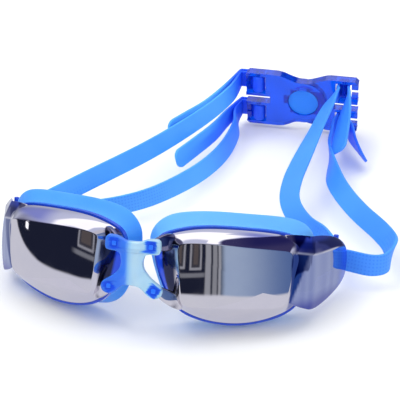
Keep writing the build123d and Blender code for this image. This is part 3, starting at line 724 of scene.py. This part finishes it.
def build_bridge():
    # flat plate with window cut-outs, then bevelled, bowed and rounded
    cu = bpy.data.curves.new("bridge_c", "CURVE")
    cu.dimensions = "2D"
    cu.fill_mode = "BOTH"

    def add(points):
        sp = cu.splines.new("POLY")
        sp.points.add(len(points) - 1)
        for i, (x, z) in enumerate(points):
            sp.points[i].co = (x * MM, z * MM, 0, 1)
        sp.use_cyclic_u = True
    add(bridge_outline(120))
    for hx, hz in ((7.4, 12.0), (-7.4, 12.0), (9.1, -5.8), (-9.1, -5.8)):
        e = superellipse(2.36, 2.36, 24, 0.4)
        add([(hx + a, hz + b) for a, b in e])
    cu.extrude = 0.85 * MM
    cu.bevel_depth = 0.45 * MM
    cu.bevel_resolution = 3
    tmp = bpy.data.objects.new("bridge_tmp", cu)
    bpy.context.scene.collection.objects.link(tmp)
    bpy.context.view_layer.update()
    dg = bpy.context.evaluated_depsgraph_get()
    me = bpy.data.meshes.new_from_object(tmp.evaluated_get(dg))
    bpy.data.objects.remove(tmp)
    n = len(me.vertices)
    co = np.zeros(n * 3)
    me.vertices.foreach_get("co", co)
    co = co.reshape(-1, 3) * 1000
    return me, co


me, co = build_bridge()
import bmesh
bm = bmesh.new()
bm.from_mesh(me)
bmesh.ops.remove_doubles(bm, verts=bm.verts, dist=1e-6)
bmesh.ops.triangulate(bm, faces=[f for f in bm.faces if len(f.verts) > 4])
for _ in range(3):
    long = [e for e in bm.edges if e.calc_length() > 0.0011]
    if not long:
        break
    bmesh.ops.subdivide_edges(bm, edges=long, cuts=1)
    bmesh.ops.triangulate(bm, faces=[f for f in bm.faces if len(f.verts) > 4])
bm.to_mesh(me)
bm.free()
n = len(me.vertices)
co = np.zeros(n * 3)
me.vertices.foreach_get("co", co)
co = co.reshape(-1, 3) * 1000
x, z, d = co[:, 0], co[:, 1], co[:, 2]
# the middle column is thicker and bows forward; feet stay flat behind their windows
column = np.exp(-(x / 3.6) ** 4) * np.clip((z + 4.5) / 4, 0, 1) * np.clip((13.6 - z) / 2.5, 0, 1)
y = -6.2 - d * (1 + 0.55 * column) + arch(x) * 0.55
P = cup(x, y, z)
me.vertices.foreach_set("co", P.ravel())
me.update()
me.materials.clear()
me.materials.append(M_BRIDGE)
me.polygons.foreach_set("use_smooth", [True] * len(me.polygons))
# painted shade: the left half is darker blue and the sides a little darker than the middle; the four feet are darker
# blue too
bridge_shade_and_feet = 0.62 * (1 - sm(x, -2.6, 0.9)) + 0.10 * sm(np.abs(x - 0.4), 1.6, 4.2)
foot = np.zeros(n)
for hx, hz, k in ((7.4, 12.0, 1), (-7.4, 12.0, 1), (9.1, -5.8, 1), (-9.1, -5.8, 1)):
    dx, dz = x - hx, z - hz
    if hz < 0:
        q = np.sign(hx) * 0.6
        dx, dz = dx * cos(q) - dz * sin(q), dx * sin(q) + dz * cos(q)
    foot = np.maximum(foot, (1 - sm(np.abs(dx), 2.0, 2.5)) * (1 - sm(np.abs(dz), 2.2, 2.9)))
bridge_shade_and_feet = np.maximum(bridge_shade_and_feet, foot)
at = me.attributes.new("bridge_shade_and_feet", "FLOAT", "POINT")
at.data.foreach_set("value", bridge_shade_and_feet.astype(np.float32))
bridge = bpy.data.objects.new("nose_bridge_soft", me)
bpy.context.scene.collection.objects.link(bridge)
fix_normals(bridge)
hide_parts("nose_bridge")
tuple(cup(-3.5, -6.2, 4.5))
tuple(cup(4.0, -6.2, 4.5))
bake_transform(bridge)


# ------------------------------------------------------------------ straps
def crom(P, n):
    P = np.array(P, float)
    Q = np.vstack([2 * P[0] - P[1], P, 2 * P[-1] - P[-2]])
    out = []
    for i in range(1, len(Q) - 2):
        a, b, c, d = Q[i - 1:i + 3]
        for k in range(n):
            t = k / n
            out.append(0.5 * (2 * b + (c - a) * t + (2 * a - 5 * b + 4 * c - d) * t * t + (3 * b - a - 3 * c + d) * t ** 3))
    out.append(P[-1])
    return np.array(out)


def spread(ctrl, n=4):
    return list(zip(crom([c[0] for c in ctrl], n), crom([c[1] for c in ctrl], n)))


UPB = np.array([0, -sb, cb])
CZ = UPC.copy()
LOOP_R = BAR_R + 0.12 + STRAP_T / 2
BAR_N = -(2.0 + 0.2 + STRAP_T / 2 + BAR_R + 0.12 + STRAP_T / 2)
STRAP_V = -4.75


def tl_pt(s, n_, v=STRAP_V):
    return tail(s, v, n_)


def mir(p):
    return mirx(p)


def tail_loop():
    out = []
    for k in range(0, 9):
        a = pi * k / 8
        out.append((tl_pt(BAR_S - LOOP_R * sin(a), BAR_N - LOOP_R * cos(a)), CZ))
    return out


def arm(side):
    x_end = -31.0 if side < 0 else 28.0
    d = -side
    return [x_end, x_end + d * 2.3, x_end + d * 5.4, x_end + d * 7.6, x_end + d * 10.7]


def arm_left(yc):
    e = arm(-1)
    bar = (e[2] + e[3]) / 2
    r = abs(e[3] - e[2]) / 2 + abs(e[2] - e[1]) / 2
    out = []
    x1, x2 = bar - r, bar + r
    for x, w in ((x1 - 7.5, -2.2), (x1 - 4.0, -2.1), (x1 - 1.55, -2.05), (x1 - 0.75, -1.8), (x1 - 0.2, -1.25), (x1, -0.55)):
        out.append((x, w))
    for k in range(0, 9):
        a = pi * k / 8
        out.append((bar - r * cos(a), r * sin(a)))
    for x, w in ((x2, -1.0), (x2, -2.2), (x2 - 0.35, -3.1), (x2 - 1.1, -3.8), (x2 - 2.2, -4.15), (x2 - 5.0, -4.2), (x2 - 9.0, -4.2), (x2 - 13.0, -4.2)):
        out.append((x, w))
    return [(bk(x, yc, w), UPB) for x, w in out]


def arm_right(yc):
    e = arm(1)
    bar = (e[2] + e[3]) / 2
    r = abs(e[3] - e[2]) / 2 + abs(e[2] - e[1]) / 2
    out = [(bar - r - 0.35, 4.6), (bar - r - 0.1, 2.6), (bar - r, 0.9)]
    for k in range(0, 9):
        a = pi * k / 8
        out.append((bar - r * cos(a), -r * sin(a)))
    out += [(bar + r, 0.9), (bar + r + 0.1, 2.6), (bar + r + 0.35, 4.6)]
    return [(bk(x, yc, w), UPB) for x, w in out]


def A(*v):
    return np.array(v, float)


m_loop = [(mir(p), CZ) for p, w in tail_loop()]
AL, BL = arm_left(ARM_Y), arm_left(-ARM_Y)
up_tail = spread([(wd(-24.6, 139.5, -5.6), A(-.2, 0, 1)), (wd(-18.5, 151.0, -4.4), A(-.2, 0, 1)), (wd(-11.2, 166.0, -3.2), A(-.2, 0, 1)), (wd(-6.0, 187.0, -2.4), A(-.1, -.05, 1)), AL[-1]], 6)
lo_tail = spread([BL[-1], (wd(-6.0, 190.0, -18.6), A(-.1, -.05, 1)), (wd(-7.5, 166.5, -16.2), A(-.2, 0, 1)), (wd(-11.5, 144.0, -14.4), A(-.25, 0, 1)), (wd(-16.2, 122.4, -13.0), A(-.3, 0, 1))], 6)
up_main = spread([AL[0], (wd(-3.4, 186.0, -3.0), A(-.15, -.05, 1)), (wd(-12.4, 158.8, -5.4), A(-.2, .05, .98)), (wd(-29.4, 122.9, -8.4), A(-.3, .15, .95)),
                  (wd(-53.3, 86.4, -12.4), A(-.3, .2, .95)), (mir(tl_pt(BAR_S + 12, BAR_N - LOOP_R + 0.2)), cupd(-.1, 0, 1)), (mir(tl_pt(BAR_S + 4, BAR_N - LOOP_R)), CZ), m_loop[0]], 8)
lo_main = spread([m_loop[-1], (mir(tl_pt(BAR_S + 4.0, BAR_N + LOOP_R)), CZ), (mir(tl_pt(BAR_S + 10.0, BAR_N + LOOP_R - 0.3, -5.2)), CZ), (wd(-64.0, 74.5, -21.5), A(-.15, .05, 1)), (wd(-44.5, 81.0, -21.5), A(-.12, 0, 1)),
                  (wd(-28.4, 89.5, -20.2), A(-.1, 0, 1)), (wd(-16.5, 102.7, -19.5), A(-.15, .05, 1)), (wd(-5.1, 126.1, -19.5), A(-.3, .1, .95)),
                  (wd(0.6, 152.0, -20.0), A(-.35, .1, .9)), (wd(1.0, 180.0, -20.4), A(-.3, .0, 1)), (wd(-2.6, 199.0, -20.6), A(-.15, -.1, 1)), BL[0]], 8)
r_loop = tail_loop()
AR, BR = arm_right(ARM_Y), arm_right(-ARM_Y)
ra_main = spread([AR[0], (wd(49.6, 196.0, -2.6), A(.5, -.3, .8)), (wd(48.4, 184.0, -3.8), A(.7, -.35, .6)), (wd(46.4, 158.4, -6.0), A(.8, -.3, .5)), (wd(44.1, 128.5, -9.0), A(1, -.3, .2)), (wd(43.2, 112.0, -11.0), A(1, -.2, .15)),
                  (wd(44.4, 97.0, -12.6), A(.9, -.0, .3)), (wd(49.0, 85.5, -14.0), A(.7, .4, .6)), (wd(56.0, 77.0, -15.4), A(.2, .4, .9)), (wd(64.5, 71.0, -16.4), A(.0, .2, .95)),
                  (tl_pt(BAR_S + 9.5, BAR_N - LOOP_R - 2.2), CZ), (tl_pt(BAR_S + 3.0, BAR_N - LOOP_R), CZ), r_loop[0]], 8)
rb_main = spread([r_loop[-1], (tl_pt(BAR_S + 2.6, BAR_N + LOOP_R), CZ), (tl_pt(BAR_S + 5.2, BAR_N + LOOP_R + 1.0), CZ), (wd(87.7, 53.9, -17.5), CZ), (wd(93.8, 59.6, -18.0), A(-.1, -.1, 1)), (wd(93.7, 73.2, -18.0), A(.5, -.3, .7)),
                  (wd(88.1, 84.6, -18.0), A(.7, -.1, .6)), (wd(76.8, 100.0, -18.0), A(.7, .2, .6)), (wd(67.8, 115.0, -18.0), A(.8, .1, .5)), (wd(60.9, 130.3, -18.0), A(.7, 0, .6)),
                  (wd(56.4, 148.1, -19.0), A(.3, 0, .9)), (wd(53.6, 165.7, -19.4), A(-.2, 0, .9)), (wd(52.2, 184.0, -20.0), A(-.2, -.1, .95)), (wd(51.0, 196.0, -20.8), A(-.1, -.15, 1)), BR[0]], 8)
ur_tail = spread([(wd(58.6, 153.6, -14.6), A(.75, 0, .6)), (wd(58.2, 168.0, -11.6), A(.7, 0, .6)), (wd(57.6, 183.0, -7.6), A(.6, -.1, .7)), (wd(57.0, 196.0, -4.0), A(.3, -.1, .95)), AR[-1]], 6)
lr_tail = spread([BR[-1], (wd(60.6, 192.0, -20.8), A(.1, .0, 1)), (wd(65.2, 180.0, -21.6), A(-.05, -.5, .85)), (wd(71.0, 166.5, -22.4), A(-.1, -.75, .62))], 6)


def ribbon(stations, tip0=False, tip1=False, step=0.7, plug=(False, False), caps=(True, True)):
    """flat silicone band with rounded edges; uv is (along, across) in mm"""
    P = np.array([s[0] for s in stations])
    W = np.array([s[1] for s in stations], float)
    d = np.r_[0, np.cumsum(np.linalg.norm(np.diff(P, axis=0), axis=1))]
    keep = np.r_[True, np.diff(d) > 1e-7]
    P, W, d = P[keep], W[keep], d[keep]
    m = max(int(d[-1] / (step * MM)), 8)
    # finer near the ends for the rounded tips
    t = np.linspace(0, d[-1], m)
    if tip0:
        t = np.r_[np.array([0, 0.1, 0.35, 0.8, 1.4, 2.2, 3.2, 4.3]) * MM, t[t > 5.0 * MM]]
    if tip1:
        t = np.r_[t[t < d[-1] - 5.0 * MM], d[-1] - np.array([4.3, 3.2, 2.2, 1.4, 0.8, 0.35, 0.1, 0]) * MM]
    Pi = np.stack([np.interp(t, d, P[:, i]) for i in range(3)], 1)
    Wi = np.stack([np.interp(t, d, W[:, i]) for i in range(3)], 1)
    for _ in range(2):
        Pi[1:-1] = 0.25 * Pi[:-2] + 0.5 * Pi[1:-1] + 0.25 * Pi[2:]
    T = np.gradient(Pi, axis=0)
    T /= np.linalg.norm(T, axis=1)[:, None]
    Wi = Wi - (Wi * T).sum(1)[:, None] * T
    Wi /= np.linalg.norm(Wi, axis=1)[:, None]
    Bn = np.cross(T, Wi)
    hw, ht, r = STRAP_W / 2, STRAP_T / 2, 0.42
    cols = []
    for y in (-0.86, -0.5, 0.0, 0.5, 0.86):
        cols.append((y * hw, ht, 0))
    cols += [(hw - r * 0.45, ht - 0.04, 0), (hw - 0.06, ht - r * 0.75, 0), (hw, 0, 0), (hw - 0.06, -ht + r * 0.75, 0), (hw - r * 0.45, -ht + 0.04, 0)]
    for y in (0.86, 0.5, 0.0, -0.5, -0.86):
        cols.append((y * hw, -ht, 0))
    cols += [(-hw + r * 0.45, -ht + 0.04, 0), (-hw + 0.06, -ht + r * 0.75, 0), (-hw, 0, 0), (-hw + 0.06, ht - r * 0.75, 0), (-hw + r * 0.45, ht - 0.04, 0)]
    cols = np.array(cols)
    nc = len(cols)
    scale = np.ones(len(t))
    R = hw * MM
    if tip0:
        x = np.clip(t / R, 0, 1)
        scale *= np.where(t < R, np.sqrt(np.clip(1 - (1 - x) ** 2, 0.0, 1)), 1)
    if tip1:
        x = np.clip((d[-1] - t) / R, 0, 1)
        scale *= np.where(d[-1] - t < R, np.sqrt(np.clip(1 - (1 - x) ** 2, 0.0, 1)), 1)
    scale = np.maximum(scale, 0.06)
    thick = np.ones(len(t))
    if tip0:
        thick *= np.clip(0.35 + (t / (0.9 * MM)), 0, 1)
    if tip1:
        thick *= np.clip(0.35 + ((d[-1] - t) / (0.9 * MM)), 0, 1)
    # a plugged end is a little smaller and sits inside the piece that goes on
    for on, sel in zip(plug, (t < 1.6 * MM, t > d[-1] - 1.6 * MM)):
        if on:
            scale[sel] *= 0.93
            thick[sel] *= 0.86
    V = (Pi[:, None] + Wi[:, None] * (cols[None, :, 0:1] * scale[:, None, None] * MM) + Bn[:, None] * (cols[None, :, 1:2] * thick[:, None, None] * MM)).reshape(-1, 3)
    nr = len(t)
    F = grid_faces(nr, nc)
    if caps[0]:
        F.append(tuple(range(nc))[::-1])
    if caps[1]:
        F.append(tuple((nr - 1) * nc + j for j in range(nc)))
    uv = np.stack([np.repeat(t * 1000, nc), np.tile(cols[:, 0], nr)], 1)
    return V, F, uv, Pi


def strap_obj(name, chains, shade):
    parts, uvs = [], []
    for st, t0, t1, *more in chains:
        V, F, uv, Pi = ribbon(st, t0, t1, **(more[0] if more else {}))
        parts.append((V, F))
        uvs.append(uv)
    V, F = join(parts)
    uv = np.vstack(uvs)
    L = V * 1000 - SH
    dots, strap_shade = shade(L[:, 0], L[:, 1], L[:, 2])
    o = make_obj(name, V, F, M_STRAP["left" if "left" in name else "right"], attrs={"dots": dots, "strap_shade": strap_shade}, uv=uv)
    fix_normals(o)
    md = o.modifiers.new("ss", "SUBSURF")
    md.levels = md.render_levels = 1
    return o


left_all = up_tail[:-1] + AL[::-1] + up_main[1:-1] + m_loop + lo_main[1:-1] + BL + lo_tail[1:]


def shade_left(x, y, z):
    low = 1 - sm(z, -15.5, -12.5)
    dots = (1 - sm(y, 98, 108)) * low
    # painted shade: darker blue near the buckle and along the middle of the lower strand
    strap_shade = np.maximum(sm(y, 176, 203), low * sm(y, 118, 165) * 0.55)
    return dots, strap_shade


def shade_right(x, y, z):
    outer = sm(x, 55, 66)
    dots = (1 - sm(y, 72, 84)) * outer
    # painted shade: darker blue near the buckle and along part of the lower strand
    strap_shade = np.maximum(sm(y, 198, 207) * 0.8, (1 - sm(z, -17.5, -14.5)) * sm(y, 140, 172) * 0.6)
    return dots, strap_shade


sl = strap_obj("strap_left_band", [(left_all, True, True)], shade_left)
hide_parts("strap_left")
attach(sl, "main")

# the right band in two pieces that meet where both lie still
YS = (122.0 + SH[1]) * MM
cut_a = max(i for i, s in enumerate(ra_main) if s[0][1] > YS)
cut_b = min(i for i, s in enumerate(rb_main) if s[0][1] > YS)
front_ = ra_main[cut_a - 1:-1] + r_loop + rb_main[1:cut_b + 2]
back_a = ur_tail[:-1] + AR[::-1] + ra_main[1:cut_a + 1]
back_b = rb_main[cut_b:-1] + BR + lr_tail[1:]
sf = strap_obj("strap_right_front", [(front_, False, False, {"plug": (True, True)})], shade_right)
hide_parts("strap_right")
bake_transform(sf)
sbk = strap_obj("strap_right_back", [(back_a, True, False, {"caps": (True, False)}), (back_b, False, True, {"caps": (False, True)})], shade_right)
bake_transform(sbk)

# ------------------------------------------------------------------ CAD nodes that stay
for nm, mt in (("frame_left", M_RIM), ("frame_right", M_RIM), ("buckle_socket", M_BUCKLE), ("buckle_tongue", M_BUCKLE), ("release_button", M_BUTTON), ("latch_spring", M_SPRING)):
    o = N[nm]
    o.data.materials.clear()
    o.data.materials.append(mt)
    if nm.startswith("buckle") or nm == "release_button":
        b = o.modifiers.new("soft_edges", "BEVEL")
        b.width = 0.35 * MM
        b.segments = 2
        b.limit_method = "ANGLE"
        b.angle_limit = radians(40)
        b.use_clamp_overlap = True

# ------------------------------------------------------------------ stage
def plane(name, size, loc, rot, col, rough=0.6, emit=0.0):
    m, nt, p = new_mat(name)
    put(p, color=col, rough=rough)
    if emit:
        p.inputs["Emission Color"].default_value = (*col, 1)
        p.inputs["Emission Strength"].default_value = emit
    me = bpy.data.meshes.new(name)
    a, b = size[0] / 2, size[1] / 2
    me.from_pydata([(-a, -b, 0), (a, -b, 0), (a, b, 0), (-a, b, 0)], [], [(0, 1, 2, 3)])
    me.materials.append(m)
    o = bpy.data.objects.new(name, me)
    o.location = loc
    o.rotation_euler = rot
    bpy.context.scene.collection.objects.link(o)
    return o


floor = plane("floor", (6, 6), (0, 0, -0.0006), (0, 0, 0), (0.90, 0.905, 0.91), 0.7)
floor.visible_glossy = False
# the near floor patch glows: its emission paints an even floor brightness, without shadows, into the lens reflections;
# only glossy rays see it
near = plane("floor_near_glow", (0.185, 0.34), (0.0, 0.02, -0.0005), (0, 0, 0), (0.12, 0.12, 0.13), 0.7)
pn = near.data.materials[0].node_tree.nodes["Principled BSDF"]
pn.inputs["Emission Color"].default_value = (0.54, 0.55, 0.625, 1)
pn.inputs["Emission Strength"].default_value = 1.0
near.visible_camera = near.visible_diffuse = near.visible_transmission = near.visible_shadow = False

# the studio as the mirror coat sees it; everything else sees plain white
world = bpy.data.worlds.new("world")
bpy.context.scene.world = world
world.use_nodes = True
wt = world.node_tree
wt.nodes.clear()


class E:
    """small node arithmetic on floats"""
    def __init__(self, sock):
        self.s = sock

    @staticmethod
    def op(kind, *args):
        n_ = wt.nodes.new("ShaderNodeMath")
        n_.operation = kind
        for k, a in enumerate(args):
            if isinstance(a, E):
                wt.links.new(a.s, n_.inputs[k])
            else:
                n_.inputs[k].default_value = float(a)
        return E(n_.outputs[0])

    def __add__(self, o): return E.op("ADD", self, o)
    def __sub__(self, o): return E.op("SUBTRACT", self, o)
    def __mul__(self, o): return E.op("MULTIPLY", self, o)


def step(x, a, b):
    n_ = wt.nodes.new("ShaderNodeMapRange")
    n_.interpolation_type = "SMOOTHSTEP"
    if isinstance(x, E):
        wt.links.new(x.s, n_.inputs["Value"])
    n_.inputs["From Min"].default_value = a
    n_.inputs["From Max"].default_value = b
    return E(n_.outputs["Result"])


def box(az, el, a0, a1, e0, e1, sa=1.5, se=1.5):
    return step(az, a0 - sa, a0 + sa) * (E.op("SUBTRACT", 1.0, step(az, a1 - sa, a1 + sa))) * step(el, e0 - se, e0 + se) * (E.op("SUBTRACT", 1.0, step(el, e1 - se, e1 + se)))


def over(base, mask, col):
    n_ = wt.nodes.new("ShaderNodeMixRGB")
    wt.links.new(mask.s, n_.inputs[0])
    if isinstance(base, tuple):
        n_.inputs[1].default_value = (*base, 1)
    else:
        wt.links.new(base, n_.inputs[1])
    if isinstance(col, tuple):
        n_.inputs[2].default_value = (*col, 1)
    else:
        wt.links.new(col, n_.inputs[2])
    return n_.outputs[0]


tcw = wt.nodes.new("ShaderNodeTexCoord")
sx = wt.nodes.new("ShaderNodeSeparateXYZ")
wt.links.new(tcw.outputs["Generated"], sx.inputs[0])
dx, dy, dz = (E(sx.outputs[k]) for k in range(3))
AZW = E.op("ARCTAN2", dx, dy * -1.0) * (180 / pi)
ELW = E.op("ARCSINE", E.op("MINIMUM", E.op("MAXIMUM", dz, -1.0), 1.0)) * (180 / pi)


def curve_of(x, pts):
    """piecewise smooth function through (azimuth, elevation) pairs"""
    n_ = wt.nodes.new("ShaderNodeFloatCurve")
    c0 = n_.mapping.curves[0]
    P_ = [((a + 180) / 360, (e + 40) / 80) for a, e in pts]
    while len(c0.points) < len(P_):
        c0.points.new(0.5, 0.5)
    for q_, (a, e) in zip(c0.points, P_):
        q_.location = (a, e)
        q_.handle_type = "AUTO"
    n_.mapping.update()
    wt.links.new(((x + 180.0) * (1 / 360)).s, n_.inputs["Value"])
    return E(n_.outputs[0]) * 80.0 - 40.0


ELB = curve_of(AZW, [(-180, -4), (-120, -4), (-95, -3), (-88, -5), (-83, -9), (-78, -13.2), (-72, -15.4), (-65, -16.3), (-57, -16.1), (-49, -15.2), (-41, -14.5), (-34, -13.4),
                     (-20, -12.6), (5, -13), (13, -13.6), (23, -14.4), (33, -15.8), (44, -16.8), (52, -17.5), (62, -17.5), (80, -17), (94, -15), (104, -6), (130, -4), (180, -4)])
above = step(ELW - ELB, -0.55, 0.55)
# dark room in front
room = over((0.013, 0.016, 0.035), step(AZW, 22, 26), (0.36, 0.46, 0.64))
room = over(room, step(AZW, 28, 60), (0.095, 0.165, 0.38))
room = over(room, step(AZW, 66, 84), (0.02, 0.035, 0.16))
# panels on its wall, and a pale upright beside them
for a0, a1, e0, e1 in ((-30.5, -23.0, -3.5, 9.0), (-42, -33.5, -4.5, 8.0), (1.5, 6.5, -4.0, 9.0), (8.5, 14.0, -4.5, 9.5)):
    room = over(room, box(AZW, ELW, a0, a1, e0, e1, 0.35, 0.35), (0.33, 0.34, 0.38))
    room = over(room, box(AZW, ELW, a0 + 0.8, a1 - 0.8, e0 + 0.9, e1 - 0.9, 0.3, 0.3), (0.045, 0.045, 0.06))
    room = over(room, box(AZW, ELW, a0 + 1.7, a1 - 1.7, e0 + 2.0, e1 - 2.0, 0.4, 0.4), (0.10, 0.085, 0.085))
room = over(room, box(AZW, ELW, -44, 16, -7.2, -5.6, 2.0, 0.4), (0.20, 0.21, 0.24))
for a0, a1, v in ((15.8, 18.4, 0.36), (19.3, 21.4, 0.30), (22.0, 23.2, 0.40)):
    room = over(room, box(AZW, ELW, a0, a1, -30, 20, 0.4, 4.0), (v * 0.92, v * 0.96, v * 1.06))
for e0 in (-6.4, -9.8):
    room = over(room, box(AZW, ELW, -74.6, -72.9, e0, e0 + 1.7, 0.4, 0.4), (2.2, 2.2, 2.3))
# upwards and behind: soft ceiling, long soft box, dark flag to its right
back = step(E.op("ABSOLUTE", AZW), 88, 100)
behind = over((0.34, 0.36, 0.46), step(ELW, 2, 30), (0.62, 0.66, 0.86))
flagm = box(AZW, ELW, 96, 170.5, 26, 72, 1.0, 4.0)
behind = over(behind, flagm, (0.045, 0.04, 0.13))
flagl = box(AZW, ELW, -131, -96, 20, 64, 4.0, 5.0)
behind = over(behind, flagl, (0.10, 0.10, 0.19))
absaz = E.op("ABSOLUTE", AZW)
soft = E.op("MAXIMUM", box(AZW, ELW, 171.5, 190, 40, 64, 0.6, 1.2), box(AZW, ELW, -190, -134, 35, 60, 1.2, 1.6))
behind = over(behind, soft, (1.35, 1.35, 1.38))
env = over(room, back, behind)
env = over(env, step(ELW, 66, 78), (0.62, 0.62, 0.70))
env = over((0.69, 0.705, 0.785), above, env)
lp = wt.nodes.new("ShaderNodeLightPath")
b1, b2, mx, wo = (wt.nodes.new(k) for k in ("ShaderNodeBackground", "ShaderNodeBackground", "ShaderNodeMixShader", "ShaderNodeOutputWorld"))
b1.inputs[0].default_value = (0.985, 0.99, 1.0, 1)
b1.inputs[1].default_value = 0.88
wt.links.new(env, b2.inputs[0])
b2.inputs[1].default_value = 1.0
wt.links.new(lp.outputs["Is Glossy Ray"], mx.inputs[0])
wt.links.new(b1.outputs[0], mx.inputs[1])
wt.links.new(b2.outputs[0], mx.inputs[2])
wt.links.new(mx.outputs[0], wo.inputs[0])


def area(name, loc, aim, size, power, col=(1, 1, 1)):
    l = bpy.data.lights.new(name, "AREA")
    l.shape = "RECTANGLE"
    l.size, l.size_y = size
    l.energy = power
    l.color = col
    o = bpy.data.objects.new(name, l)
    o.location = loc
    o.rotation_euler = (Vector(loc) - Vector(aim)).to_track_quat("Z", "Y").to_euler()
    bpy.context.scene.collection.objects.link(o)
    return o


key = area("key", (-0.45, -0.30, 0.85), (0, 0, 0), (0.5, 0.4), 3.2)
fill = area("fill", (0.85, -0.15, 0.55), (0, 0, 0), (0.5, 0.5), 1.4)
top = area("top", (0.0, 0.25, 1.0), (0, 0.02, 0), (1.0, 0.8), 2.8)
for o in (key, fill, top):
    o.visible_glossy = False
